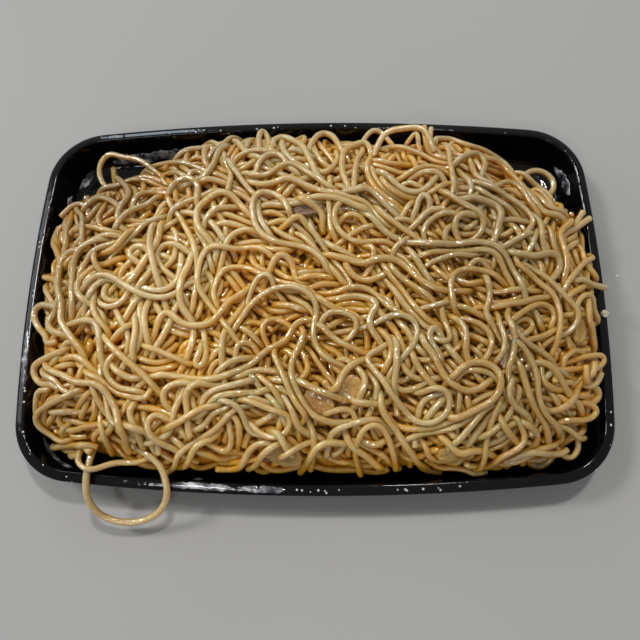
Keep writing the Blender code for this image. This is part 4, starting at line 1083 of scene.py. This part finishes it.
    "near_stem_465": ((458, 318), (465, 325), (467, 335), (466, 345), (466, 354), (470, 361)),
    "near_stem_484": ((468, 318), (477, 320), (486, 325), (492, 332), (494, 341), (491, 350), (486, 358)),
    "near_stem_500": ((502, 328), (505, 338), (504, 348), (501, 358)),
    "near_stem_512": ((511, 325), (514, 336), (514, 347), (512, 358), (507, 368)),
    "near_stem_505": ((508, 385), (508, 395), (512, 404)),
    "near_bowl_552": ((540, 371), (542, 380), (547, 386), (555, 389), (563, 389)),
    "near_arch_548": ((530, 365), (538, 361), (547, 363), (555, 369), (561, 377), (566, 386), (571, 395)),
    "near_small_575": ((566, 375), (574, 374), (583, 378)),
    "near_small_577": ((570, 370), (577, 366), (585, 368)),
    "near_small_583": ((575, 348), (583, 348), (588, 355)),
    "near_edge_600": ((590, 379), (597, 385), (602, 393), (599, 400), (591, 402)),
    "near_edge_598": ((582, 400), (590, 402), (597, 407), (597, 414), (589, 419), (580, 421), (572, 419)),
    "near_stub_558": ((550, 466), (555, 459), (561, 451), (567, 441)),
    "near_white_565": ((566, 429), (567, 437), (562, 444), (555, 445)),
    "near_short_565": ((559, 426), (569, 427)),
    "near_right_run": ((586, 376), (582, 385), (577, 394), (572, 402), (564, 408), (555, 411), (546, 411)),
    "near_right_pale": ((516, 342), (524, 351), (530, 360), (534, 369), (537, 379), (537, 390), (539, 401),
                        (543, 411), (549, 419), (558, 426)),
    "yellow_under": ((462, 370), (471, 369), (480, 370), (489, 371), (496, 376)),
    "yellow_loop": ((452, 378), (459, 370), (467, 364), (476, 361), (486, 363), (495, 367), (500, 374),
                    (501, 383), (499, 392), (494, 400), (486, 405), (477, 409), (468, 414), (459, 418),
                    (449, 421)),
}


def fixed_noodle(points):
    """A noodle laid along points in millimetres."""
    return even_steps(spline(np.array(points, float), 8))


class Pile:
    """Noodles as chains of beads that push each other apart, keep their length and settle on the core.

    A bead is loose, held in plan, or fixed. Of two beads held in plan, the later lies on top.
    """

    SWELL_STEPS = 170
    STEPS = 260
    FLATNESS = 4.0
    SINK = 0.03

    def __init__(self):
        self.places = []
        self.owner = []
        self.radius = []
        self.plan = []
        self.rise = []
        self.chains = 0

    def add(self, beads, radius=NOODLE_RADIUS, plan=1.0, rise=1.0):
        """Add a chain of beads, free to move in plan and in height where plan and rise are 1."""
        count = len(beads)
        self.places.append(np.asarray(beads, float))
        self.owner.append(np.full(count, self.chains))
        self.radius.append(np.full(count, radius))
        self.plan.append(np.broadcast_to(plan, count).astype(float))
        self.rise.append(np.broadcast_to(rise, count).astype(float))
        self.chains += 1
        return self.chains - 1

    def close(self):
        """Join the chains and note their links, once all are added."""
        for name in ("places", "owner", "radius", "plan", "rise"):
            setattr(self, name, np.concatenate(getattr(self, name)))
        self.count = len(self.places)
        one = np.flatnonzero(self.owner[1:] == self.owner[:-1])
        two = np.flatnonzero(self.owner[2:] == self.owner[:-2])
        self.links = []
        for span, starts, stiffness in ((2, two, 0.35), (1, one, 0.8)):
            starts = starts[self.rise[starts] + self.rise[starts + span] > 0]
            length = np.linalg.norm(self.places[starts + span] - self.places[starts], axis=1)
            length = np.clip(length, 0.9 * span * NOODLE_STEP, 1.05 * span * NOODLE_STEP)
            for part in range(span + 1):
                chosen = starts % (span + 1) == part
                self.links.append((starts[chosen], span, length[chosen], stiffness))

    def near_pairs(self, stretch, reach):
        """Pairs of beads, not close on one noodle, nearer than a reach with heights stretched."""
        scaled = self.places * (1.0, 1.0, stretch)
        cell = np.floor(scaled / reach).astype(np.int64)
        cell -= cell.min(axis=0) - 1
        size = cell.max(axis=0) + 2
        key = (cell[:, 0] * size[1] + cell[:, 1]) * size[2] + cell[:, 2]
        order = np.argsort(key, kind="stable")
        keys = key[order]
        index = np.arange(self.count)
        firsts, seconds = [], []
        for step_x in (-1, 0, 1):
            for step_y in (-1, 0, 1):
                shift = (step_x * size[1] + step_y) * size[2]
                low = np.searchsorted(keys, key + shift - 1, "left")
                number = np.searchsorted(keys, key + shift + 1, "right") - low
                total = int(number.sum())
                first = np.repeat(index, number)
                start = np.repeat(low - np.concatenate(([0], np.cumsum(number)[:-1])), number)
                second = order[start + np.arange(total)]
                keep = first < second
                firsts.append(first[keep])
                seconds.append(second[keep])
        first, second = np.concatenate(firsts), np.concatenate(seconds)
        apart = scaled[first] - scaled[second]
        near = (apart * apart).sum(axis=1) < reach * reach
        near &= (self.owner[first] != self.owner[second]) | (second - first > 3)
        near &= self.rise[first] + self.rise[second] > 0
        return first[near], second[near]

    def keep_lengths(self):
        """Pull the beads of each noodle back to their distances."""
        for starts, span, length, stiffness in self.links:
            apart = self.places[starts + span] - self.places[starts]
            distance = np.linalg.norm(apart, axis=1) + 1e-9
            move = (0.5 * stiffness * (distance - length) / distance)[:, None] * apart
            for index, sign in ((starts, 1.0), (starts + span, -1.0)):
                self.places[index, :2] += sign * self.plan[index, None] * move[:, :2]
                self.places[index, 2] += sign * self.rise[index] * move[:, 2]

    def push_apart(self, first, second, stretch):
        """Move touching beads away from each other."""
        apart = self.places[first] - self.places[second]
        apart[:, 2] *= stretch
        reach = self.radius[first] + self.radius[second]
        distance = np.sqrt((apart * apart).sum(axis=1)) + 1e-6
        stacked = (self.plan[first] + self.plan[second] == 0) & (np.hypot(apart[:, 0], apart[:, 1]) < reach)
        touch = (distance < reach) | (stacked & (apart[:, 2] > -reach))
        first, second, apart = first[touch], second[touch], apart[touch]
        reach, distance, stacked = reach[touch], distance[touch], stacked[touch]
        push = (0.5 * (reach - distance) / distance)[:, None] * apart
        push[:, 2] /= stretch
        flat = np.hypot(apart[:, 0], apart[:, 1])
        needed = np.sqrt(np.maximum(reach * reach - flat * flat, 0)) / stretch
        lift = -0.25 * np.maximum(needed + apart[:, 2] / stretch, 0)
        push[stacked] = 0
        push[stacked, 2] = lift[stacked]
        touches = np.bincount(first, minlength=self.count) + np.bincount(second, minlength=self.count)
        share = 1.0 / np.maximum(1.0, 0.5 * touches)
        for axis, freedom in ((0, self.plan), (1, self.plan), (2, self.rise)):
            partner = 2.0 / np.maximum(freedom[first] + freedom[second], 1.0)
            pushed = push[:, axis] * partner
            move = np.bincount(first, pushed, self.count) - np.bincount(second, pushed, self.count)
            self.places[:, axis] += move * share * freedom

    def hold(self):
        """Keep the beads above the core, on the lip or inside the tray's wall."""
        x, y, z = self.places.T
        floor = core_height(x, y) + self.radius
        z = np.where(self.rise > 0, np.maximum(z, floor), z)
        inside = tray_distance(x, y)
        wall = LIP_WIDTH + np.maximum(TRAY_HEIGHT - z, 0) * math.tan(WALL_LEAN)
        low = z < TRAY_HEIGHT + self.radius
        inward = np.where(low, np.maximum(wall + self.radius - inside, 0), 0)
        upward = np.maximum(TRAY_HEIGHT + self.radius - z, 0)
        lifted = (inside < LIP_WIDTH + self.radius) & (upward < inward)
        self.places[:, 2] = np.where(lifted & (self.rise > 0), z + upward, z)
        inward = np.where(lifted, 0, inward) * self.plan
        step = 0.5
        self.places[:, 0] += inward * (tray_distance(x + step, y) - inside) / step
        self.places[:, 1] += inward * (tray_distance(x, y + step) - inside) / step

    def settle(self):
        """Swell the beads from flat to round while they push, keep their length and sink."""
        for step in range(self.STEPS):
            swell = min(1.0, step / self.SWELL_STEPS)
            stretch = self.FLATNESS + (1.0 - self.FLATNESS) * swell
            if step % 5 == 0:
                first, second = self.near_pairs(stretch, 2 * NOODLE_RADIUS + 1.0)
            self.places[:, 2] -= self.SINK * self.rise
            self.keep_lengths()
            self.push_apart(first, second, stretch)
            self.hold()

    def chain(self, number):
        """The beads of one chain."""
        return self.places[self.owner == number]


# ---------------------------------------------------------------- tubes

def smooth_chain(chain, passes):
    """Even out a chain's small kinks, keeping its ends."""
    result = chain.copy()
    for _ in range(passes):
        result[1:-1] += 0.25 * (result[:-2] + result[2:] - 2 * result[1:-1])
    return result


def spline(chain, parts):
    """Points along a smooth curve through a chain, a number of parts to each step."""
    before = np.concatenate(([2 * chain[0] - chain[1]], chain[:-1]))
    after = np.concatenate((chain[1:], [2 * chain[-1] - chain[-2]]))
    tangent = 0.5 * (after - before)
    here, there, leaving, arriving = chain[:-1], chain[1:], tangent[:-1], tangent[1:]
    rows = []
    for part in range(parts):
        t = part / parts
        rows.append((2 * t ** 3 - 3 * t ** 2 + 1) * here + (t ** 3 - 2 * t ** 2 + t) * leaving
                    + (3 * t ** 2 - 2 * t ** 3) * there + (t ** 3 - t ** 2) * arriving)
    fine = np.stack(rows, axis=1).reshape(-1, chain.shape[1])
    return np.concatenate((fine, chain[-1:]))


# Rounded end of a tube: how far out each ring is and its size, as shares of the radius
TUBE_ENDS = ((0.30, 0.50), (0.18, 0.82))


def tube(route, radius, sides):
    """Rings of points round a route, with rounded ends: places and ring count."""
    ahead = np.gradient(route, axis=0)
    ahead /= np.linalg.norm(ahead, axis=1)[:, None] + 1e-12
    aside = np.empty_like(ahead)
    start = np.cross(ahead[0], (0.0, 0.0, 1.0))
    if np.linalg.norm(start) < 0.1:
        start = np.cross(ahead[0], (1.0, 0.0, 0.0))
    aside[0] = start / np.linalg.norm(start)
    for i in range(1, len(route)):
        carried = aside[i - 1] - ahead[i] * np.dot(aside[i - 1], ahead[i])
        aside[i] = carried / np.linalg.norm(carried)
    above = np.cross(aside, ahead)
    outs, sizes = np.array(TUBE_ENDS).T
    start_places = route[0] - np.outer(outs * radius[0], ahead[0])
    end_places = (route[-1] + np.outer(outs * radius[-1], ahead[-1]))[::-1]
    centre = np.concatenate([start_places, route, end_places])
    aside = np.concatenate([[aside[0]] * len(outs), aside, [aside[-1]] * len(outs)])
    above = np.concatenate([[above[0]] * len(outs), above, [above[-1]] * len(outs)])
    radius = np.concatenate([radius[0] * sizes, radius, (radius[-1] * sizes)[::-1]])
    turn = 2 * math.pi * np.arange(sides) / sides
    around = np.cos(turn)[None, :, None] * aside[:, None, :] + np.sin(turn)[None, :, None] * above[:, None, :]
    rings = centre[:, None, :] + radius[:, None, None] * around
    return rings.reshape(-1, 3), len(centre)


def noodle_piece(name, noodles, draw, finish):
    """One mesh of many noodles, with a tone for each."""
    places, quads, caps, tones = [], [], [], []
    offset = 0
    for chain in noodles:
        route = spline(smooth_chain(chain, 3), NOODLE_PARTS)
        size = NOODLE_RADIUS * draw.uniform(0.84, 1.06)
        radius = size * (0.96 + 0.08 * slow_noise(draw, len(route), 9.0))
        ring_places, rings = tube(route, radius, NOODLE_SIDES)
        places.append(ring_places * MM)
        skin, first, last = closed_rings(rings, NOODLE_SIDES)
        quads.append(skin + offset)
        caps += [first + offset, last + offset]
        own = draw.uniform(-TONE_SPREAD, TONE_SPREAD)
        x, y, z = ring_places.T
        # Deeper noodles take the browned colours: painted shade of the gaps
        depth = np.clip((heap_height(x, y) - z) / TONE_DEPTH, 0, 1) * np.clip(edge_distance(x, y) / 4.0, 0, 1)
        tones.append(np.clip(NOODLE_TONE + own - TONE_FALL * depth + regional(TONES, x, y), 0, 1))
        offset += len(ring_places)
    places = np.concatenate(places)
    piece = mesh_object(name, places, [np.concatenate(quads), np.concatenate(caps)], finish)
    shade_piece(piece, places, np.concatenate(tones))
    dress(piece, "noodle", "noodles")


def point_values(piece, name, values):
    """Give a piece's points a number each."""
    layer = piece.data.attributes.new(name, "FLOAT", "POINT")
    layer.data.foreach_set("value", np.asarray(values, np.float32))


# Painted shade, and painted light below 0, where the noodles are darker or lighter by place: (x, y, reach,
# share of the light taken)
PAINTED_SHADES = (
    (85, -2, 47, 0.40),
    (-98, 52, 26, 0.54),
    (-123, 32, 14, 0.25),
    (-6, 68, 40, 0.18),
    (90, 62, 28, 0.24),
    (-109, -68, 28, 0.36),
    (-12, -40, 28, 0.28),
    (-55, 74, 24, 0.20),
    (-119, -5, 16, 0.34),
    (-66, 4, 26, -0.10),
    (95, -70, 30, 0.24),
)


# Where the noodles are paler or browner with sauce: (x, y, reach, tone)
TONES = (
    (-72, 5, 24, 0.16),
    (-45, 25, 25, 0.08),
    (-110, 45, 28, -0.22),
    (-90, -55, 28, -0.08),
    (105, -60, 34, -0.20),
    (90, -10, 26, -0.12),
    (118, 20, 24, -0.14),
    (0, -72, 34, -0.12),
)


def regional(patches, x, y):
    """Sum of soft round patches at a place in plan."""
    total = 0.0 * x
    for patch_x, patch_y, reach, amount in patches:
        total = total + amount * np.exp(-((x - patch_x) ** 2 + (y - patch_y) ** 2) / (2 * reach * reach))
    return total


def shade_piece(piece, places, tones):
    """Give a noodle piece its tones, and its painted shade: the share of the light that is left at its
    places.
    """
    x, y = places[:, :2].T / MM
    point_values(piece, "tone", tones)
    point_values(piece, "shade", 1.0 - regional(PAINTED_SHADES, x, y))


def build_core(finish):
    """The solid core under the loose noodles, with relief of their size."""
    turns = np.linspace(0, 2 * math.pi, CORE_AROUND, endpoint=False)
    reach, too_far = np.zeros(CORE_AROUND), np.full(CORE_AROUND, TRAY_LENGTH)
    for _ in range(30):
        middle = (reach + too_far) / 2
        inside = edge_distance(middle * np.cos(turns), middle * np.sin(turns) + CORE_MIDDLE_Y) > CORE_INSET
        reach, too_far = np.where(inside, middle, reach), np.where(inside, too_far, middle)
    rows = []
    for inset, height in CORE_SKIRT:
        share = (reach - inset) / reach
        x = share * reach * np.cos(turns)
        y = share * reach * np.sin(turns) + CORE_MIDDLE_Y
        rows.append(np.column_stack([x, y, np.full(CORE_AROUND, height)]))
    for share in np.linspace(1.0, 0.02, CORE_RINGS):
        x = share * reach * np.cos(turns)
        y = share * reach * np.sin(turns) + CORE_MIDDLE_Y
        relief = CORE_RELIEF * np.sin(x * 2.05 + 2.2 * np.sin(y * 0.22)) * np.sin(y * 0.31 + x * 0.07)
        rows.append(np.column_stack([x, y, core_height(x, y) + relief - 1.0]))
    places = np.concatenate(rows) * MM
    piece = mesh_object("noodle_core", places, closed_rings(len(rows), CORE_AROUND), finish)
    shade_piece(piece, places, np.zeros(len(places)))
    dress(piece, "noodle", "noodles")


# ---------------------------------------------------------------- slices, crumb and drops

# Dark and light colour, spots, scale of the mottling and reach of the scattered light
MOIST_LOOKS = {
    "meat_tan": ((0.40, 0.22, 0.050), (0.49, 0.31, 0.095), (0.80, 0.62, 0.50), 130.0, 0.0025),
    "shallot_purple": ((0.20, 0.105, 0.065), (0.30, 0.19, 0.13), (0.55, 0.45, 0.45), 180.0, 0.0015),
    "shallot_pale": ((0.36, 0.225, 0.115), (0.50, 0.40, 0.26), (0.80, 0.70, 0.66), 110.0, 0.0025),
    "onion_amber": ((0.36, 0.21, 0.035), (0.47, 0.315, 0.095), (0.85, 0.75, 0.60), 120.0, 0.0040),
    "crumb_white": ((0.54, 0.49, 0.37), (0.74, 0.70, 0.58), (0.90, 0.85, 0.75), 300.0, 0.0015),
}

# Look of each slice: slot, colours, direction of its fibres in degrees, depth and spacing of its grooves
SLICE_LOOKS = {
    "meat_slice_left": ("meat", "meat_tan", -38.0, 0.16, 1.7),
    "meat_slice_right": ("meat", "meat_tan", 40.0, 0.18, 1.5),
    "shallot_strip": ("shallot", "shallot_purple", 8.0, 0.30, 2.1),
    "shallot_piece_right": ("shallot", "shallot_pale", 74.0, 0.95, 2.2),
    "onion_slice_front": ("onion", "onion_amber", -12.0, 0.30, 2.7),
    "onion_slice_front_right": ("onion", "onion_amber", 6.0, 0.28, 2.1),
    "onion_slice_right": ("onion", "onion_amber", 72.0, 0.28, 2.2),
    "onion_slice_left": ("onion", "onion_amber", -28.0, 0.28, 2.5),
}
SLICE_CUTS = 4
SLICE_LUMPS = 0.45

# Crumb, drops and films, in millimetres
CRUMB_RADIUS = 1.9
CRUMB_RISE = (0.0, 0.0, 0.9)
DROP_RADIUS = (0.36, 0.64)
SLOPE_STEP = 0.3
FILM_UP = (0.0, -0.35, 0.94)
FILM_ACROSS = 9
FILM_RISE = 0.30
FILM_SINK = 0.12

# Crumb and drops, as columns and rows of the photograph
CRUMB_SEEN = (604, 314)
DROPS_SEEN = (
    (102.5, 138.4), (118, 137.2), (169.6, 133.5), (186.3, 131.5), (196, 132), (204, 130.3),
    (220.7, 130.6), (228.5, 133.5), (257, 129), (274, 128), (278, 127), (331, 126), (345, 126),
    (123.7, 155.4), (127, 154.8), (138, 154.8), (141.7, 154.4), (161.6, 151.2), (189.2, 149.5),
    (193.2, 149.5), (196.6, 149.5),
    (261, 487.5), (263, 490), (297, 490), (302, 490.4), (310.4, 492), (318.4, 490.4), (325, 491),
    (326.5, 493), (339, 490), (397.7, 489.7), (405.3, 489.5), (407, 490.5), (423.2, 489),
    (438.5, 488), (440.5, 490), (460, 486.2), (611, 412), (611, 425), (610, 445), (596, 470), (617, 276),
    (40, 242), (39.4, 247), (33.7, 290.5), (33, 296), (30, 327), (28, 346), (26.5, 362.5), (24.5, 388),
    (25, 391), (24, 402), (23, 432), (24, 436), (30, 453.6), (43, 465), (66.4, 476.6), (72, 482),
)

# Films of liquid, with painted reflection: column and row of one edge and of the other, along each
FILMS_SEEN = {
    "film_far_left": ((113, 159, 113, 165), (122, 157, 122, 164), (134, 155, 134, 163),
                      (148, 153, 148, 162), (160, 151, 160, 161), (172, 150, 172, 159),
                      (184, 149, 184, 158), (194, 149, 194, 156)),
    "film_left_corner": ((78, 189, 82, 191), (82, 182, 87, 186), (88, 175, 92, 180), (94, 169, 97, 173)),
    "film_left_wall": ((66, 208, 69, 213), (68, 200, 71, 206), (71, 194, 74, 198)),
    "film_far_right": ((552, 169, 556, 165), (558, 178, 563, 173), (563, 187, 569, 182),
                       (567, 198, 572, 194)),
    "film_near_left": ((168, 483, 168, 488), (180, 482, 180, 488), (192, 482, 192, 489),
                       (206, 483, 206, 490), (220, 484, 220, 491), (232, 485, 232, 491)),
    "film_near_dash": ((189, 477, 189, 479), (196, 477, 196, 480), (203, 478, 203, 480)),
    "film_near_middle": ((240, 485, 240, 491), (252, 486, 252, 492), (264, 486, 264, 493),
                         (276, 487, 276, 493), (286, 487, 286, 493)),
    "film_near_left_corner": ((42, 438, 45, 436), (47, 450, 50, 447), (55, 459, 57, 456), (64, 466, 65, 463),
                              (74, 470, 75, 467)),
    "film_left_lip": ((25, 330, 30, 331), (24, 345, 29, 346), (22, 360, 28, 361), (21, 375, 27, 376),
                      (21, 388, 26, 389)),
}

INNER_FACE = tray_section()[0]


def tray_surface(x, y):
    """Height of the tray's upper face at a place in plan."""
    return np.interp(tray_distance(x, y), INNER_FACE[:, 0], INNER_FACE[:, 1], left=0.0)


def on_tray(column, row):
    """Where the line of sight through a point of the photograph meets the tray, in millimetres."""
    heights = np.arange(TRAY_HEIGHT + 1.0, SHEET, -0.05)
    x, y = sight_at(column, row, heights)
    first = int(np.argmax(tray_surface(x, y) >= heights))
    return np.array((x[first], y[first], heights[first]))


def blob(middle, up, radius, flatness, lumps, level, seed):
    """Points and faces of a small uneven lump whose short axis points up."""
    shape = bmesh.new()
    bmesh.ops.create_icosphere(shape, subdivisions=level, radius=1.0)
    turn = Vector(up).to_track_quat("Z", "Y").to_matrix()
    points = []
    for vertex in shape.verts:
        swell = 1.0 + lumps * noise.noise(vertex.co * 1.6 + Vector((seed, 0.0, 0.0)))
        out = Vector((vertex.co.x, vertex.co.y, vertex.co.z * flatness)) * swell * radius
        points.append(Vector(middle) + turn @ out)
    faces = [[corner.index for corner in face.verts] for face in shape.faces]
    shape.free()
    return np.array(points), np.array(faces)


def build_drops(draw, finish):
    """Small drops on the tray's lip and inner wall."""
    places, faces = [], []
    offset = 0
    for number, (column, row) in enumerate(DROPS_SEEN):
        x, y, height = on_tray(column, row)
        rise_x = float(tray_surface(x + SLOPE_STEP, y) - tray_surface(x - SLOPE_STEP, y))
        rise_y = float(tray_surface(x, y + SLOPE_STEP) - tray_surface(x, y - SLOPE_STEP))
        up = (-rise_x, -rise_y, 2 * SLOPE_STEP)
        points, parts = blob((x, y, height), up, draw.uniform(*DROP_RADIUS), 0.55, 0.15, 3, 7.3 * number)
        places.append(points * MM)
        faces.append(parts + offset)
        offset += len(points)
    dress(mesh_object("tray_drops", np.concatenate(places), [np.concatenate(faces)], finish))


def build_crumb(finish):
    """The cream crumb on the right lip."""
    middle = on_tray(*CRUMB_SEEN) + CRUMB_RISE
    points, faces = blob(middle, (0.2, 0.1, 1.0), CRUMB_RADIUS, 0.70, 0.38, 4, 3.1)
    dress(mesh_object("crumb", points * MM, [faces], finish))


def build_film(name, sections, finish):
    """A thin lens of liquid on the tray's wall or lip, with wavy edges."""
    sections = spline(np.array(sections, float), 8)
    rings = []
    across = np.linspace(-1.0, 1.0, FILM_ACROSS)
    lens = np.maximum(1 - across ** 2, 0.0)
    for number, section in enumerate(sections):
        one, other = section[:2], section[2:]
        from_end = min(number, len(sections) - 1 - number) / 6.0
        share = min(1.0, 0.15 + from_end) * (1.0 + 0.5 * noise.noise(Vector((0.35 * number, 0.0, 0.0))))
        half = 0.5 * share * (other - one)
        middle = 0.5 * (one + other) + 0.2 * noise.noise(Vector((0.22 * number, 9.0, 0.0))) * (other - one)
        bed = np.array([on_tray(*(middle + half * part)) for part in across])
        upper = bed + np.outer(FILM_RISE * lens, FILM_UP) + (0.0, 0.0, 0.02)
        lower = bed + np.outer(-FILM_SINK * lens - 0.1, FILM_UP)
        rings.append(np.concatenate([upper, lower[::-1]]))
    faces = closed_rings(len(rings), len(rings[0]))
    dress(mesh_object(name, np.concatenate(rings) * MM, faces, finish))


def build_slice(node, slot, finish, turn, groove, spacing):
    """A slice in the form of its solid, with rounded edges, grooves along its fibres and uneven lumps."""
    shape = bmesh.new()
    shape.from_mesh(nodes[node].data)
    bmesh.ops.remove_doubles(shape, verts=shape.verts[:], dist=0.00001)
    bmesh.ops.subdivide_edges(shape, edges=shape.edges[:], cuts=SLICE_CUTS, use_grid_fill=True)
    for _ in range(4):
        bmesh.ops.smooth_vert(shape, verts=shape.verts[:], factor=0.5, use_axis_x=True, use_axis_y=True,
                              use_axis_z=True)
    shape.normal_update()
    middle = sum((vertex.co for vertex in shape.verts), Vector()) / len(shape.verts)
    across = Vector((-math.sin(math.radians(turn)), math.cos(math.radians(turn)), 0.0))
    moved = []
    for vertex in shape.verts:
        place = (vertex.co - middle) / MM
        phase = place.dot(across) / spacing + 0.35 * noise.noise(place * 0.22)
        ridge = 0.5 * math.cos(2 * math.pi * phase) - 0.5
        lump = SLICE_LUMPS * noise.noise(place * 0.35) + 0.4 * SLICE_LUMPS * noise.noise(place * 1.1)
        moved.append(vertex.co + vertex.normal * (groove * ridge + lump) * MM)
    places = np.array(moved)
    faces = np.array([[corner.index for corner in face.verts] for face in shape.faces])
    shape.free()
    dress(mesh_object(node + "_flesh", places, [faces], finish), slot, node)


def build_toppings(draw):
    """The slices, the crumb, the drops and the films."""
    finishes = {name: moist_material(name, *look) for name, look in MOIST_LOOKS.items()}
    for node, (slot, colours, turn, groove, spacing) in SLICE_LOOKS.items():
        build_slice(node, slot, finishes[colours], turn, groove, spacing)
    build_crumb(finishes["crumb_white"])
    build_drops(draw, drop_material())
    film = film_material()
    for name, sections in FILMS_SEEN.items():
        build_film(name, sections, film)


# ---------------------------------------------------------------- camera and light

def build_camera():
    """The camera at the photograph's viewing angle."""
    camera = bpy.data.objects.new("camera", bpy.data.cameras.new("camera"))
    bpy.context.scene.collection.objects.link(camera)
    camera.data.lens = CAMERA_LENS
    camera.data.sensor_width = CAMERA_SENSOR
    camera.data.clip_start = 0.01
    camera.location = CAMERA_PLACE
    camera.rotation_euler = camera_turn().to_euler()
    bpy.context.scene.camera = camera


# Soft lights, aimed at the tray: place and size in metres, power in watts, colour
LIGHT_AIM = (0.0, 0.0, 0.02)
LIGHTS = {
    "key_light": ((-3.10, 1.55, 3.65), (0.95, 0.95), 100.0, (1.0, 0.985, 0.955)),
    "far_lamp": ((0.35, 1.35, 2.90), (0.24, 0.24), 38.0, (1.0, 0.985, 0.955)),
    "near_light": ((-0.36, -0.86, 1.09), (0.26, 0.16), 2.2, (0.97, 0.985, 1.0)),
    "far_window": ((-0.95, 2.60, 1.35), (0.50, 1.20), 12.0, (0.80, 0.90, 1.0)),
    "left_window": ((-3.20, 0.95, 1.55), (1.60, 1.30), 14.0, (0.92, 0.96, 1.0)),
}
SURROUNDING_COLOUR = (1.0, 0.985, 0.96, 1.0)
SURROUNDING_STRENGTH = 0.29
FLOOR_SIZE = 6.0
FLOOR_GAP = 0.0001


def area_light(name, place, size, power, colour):
    """A rectangular soft light at a place, turned to the tray."""
    light = bpy.data.lights.new(name, "AREA")
    light.shape = "RECTANGLE"
    light.size, light.size_y = size
    light.energy = power
    light.color = colour
    result = bpy.data.objects.new(name, light)
    bpy.context.scene.collection.objects.link(result)
    result.location = place
    result.rotation_euler = (Vector(LIGHT_AIM) - Vector(place)).to_track_quat("-Z", "Y").to_euler()


def build_lights():
    """The soft lights and a pale surrounding."""
    for name, look in LIGHTS.items():
        area_light(name, *look)
    world = bpy.data.worlds.new("surrounding")
    world.use_nodes = True
    set_inputs(world.node_tree.nodes["Background"],
               {"Color": SURROUNDING_COLOUR, "Strength": SURROUNDING_STRENGTH})
    bpy.context.scene.world = world
    bpy.context.scene.view_settings.view_transform = "Standard"


def build_floor(finish):
    """The plain surface that the tray stands on."""
    bpy.ops.mesh.primitive_grid_add(x_subdivisions=2, y_subdivisions=2, size=FLOOR_SIZE,
                                    location=(0, 0, -FLOOR_GAP))
    floor = bpy.context.object
    floor.name = "floor"
    floor.data.materials.append(finish)


# ---------------------------------------------------------------- whole

def slice_beads(node):
    """Beads that stand for a slice while the noodles settle, in millimetres."""
    places = np.array([vertex.co for vertex in nodes[node].data.vertices]) / MM
    return np.unique(np.round(places, 1), axis=0)


def settled_noodles(draw):
    """The beads of every noodle, once the pile has settled round the slices."""
    slices = [slice_beads(name) for name in SLICE_LOOKS]
    pile = Pile()
    for beads in slices:
        pile.add(beads, SLICE_BEAD_RADIUS, 0.0, 0.0)
    first_noodle = pile.chains
    for beads in loose_noodles(draw, slices):
        pile.add(beads)
    for points in STRANDS_SEEN.values():
        beads, held = traced_noodle(draw, points)
        pile.add(beads, plan=np.where(held, 0.0, 1.0))
    for points in EDGE_NOODLES.values():
        pile.add(fixed_noodle(points), plan=0.0, rise=0.0)
    pile.close()
    pile.settle()
    return [pile.chain(number) for number in range(first_noodle, pile.chains)]


def build_noodles(draw, finish):
    """The noodles in layers of about as many beads each, from the deepest to the highest."""
    chains = settled_noodles(draw)
    depth = [float((chain[:, 2] - heap_height(chain[:, 0], chain[:, 1])).mean()) for chain in chains]
    order = np.argsort(depth)
    walked = np.cumsum([len(chains[number]) for number in order])
    layer = np.minimum(LAYERS * walked // walked[-1], LAYERS - 1)
    for number in range(LAYERS):
        noodle_piece(f"noodles_layer_{number + 1}", [chains[i] for i in order[layer == number]], draw, finish)


def main():
    """Every piece, then the floor, the camera and the lights."""
    draw = np.random.default_rng(PILE_SEED)
    noodle = noodle_material("noodle_amber", *NOODLE_COLOURS)
    # The core's colours are painted warm shade, seen through the gaps
    deep = noodle_material("noodle_deep", *DEEP_COLOURS)
    build_tray(plastic_material())
    build_core(deep)
    build_noodles(draw, noodle)
    build_toppings(draw)
    build_floor(floor_material())
    build_camera()
    build_lights()


main()
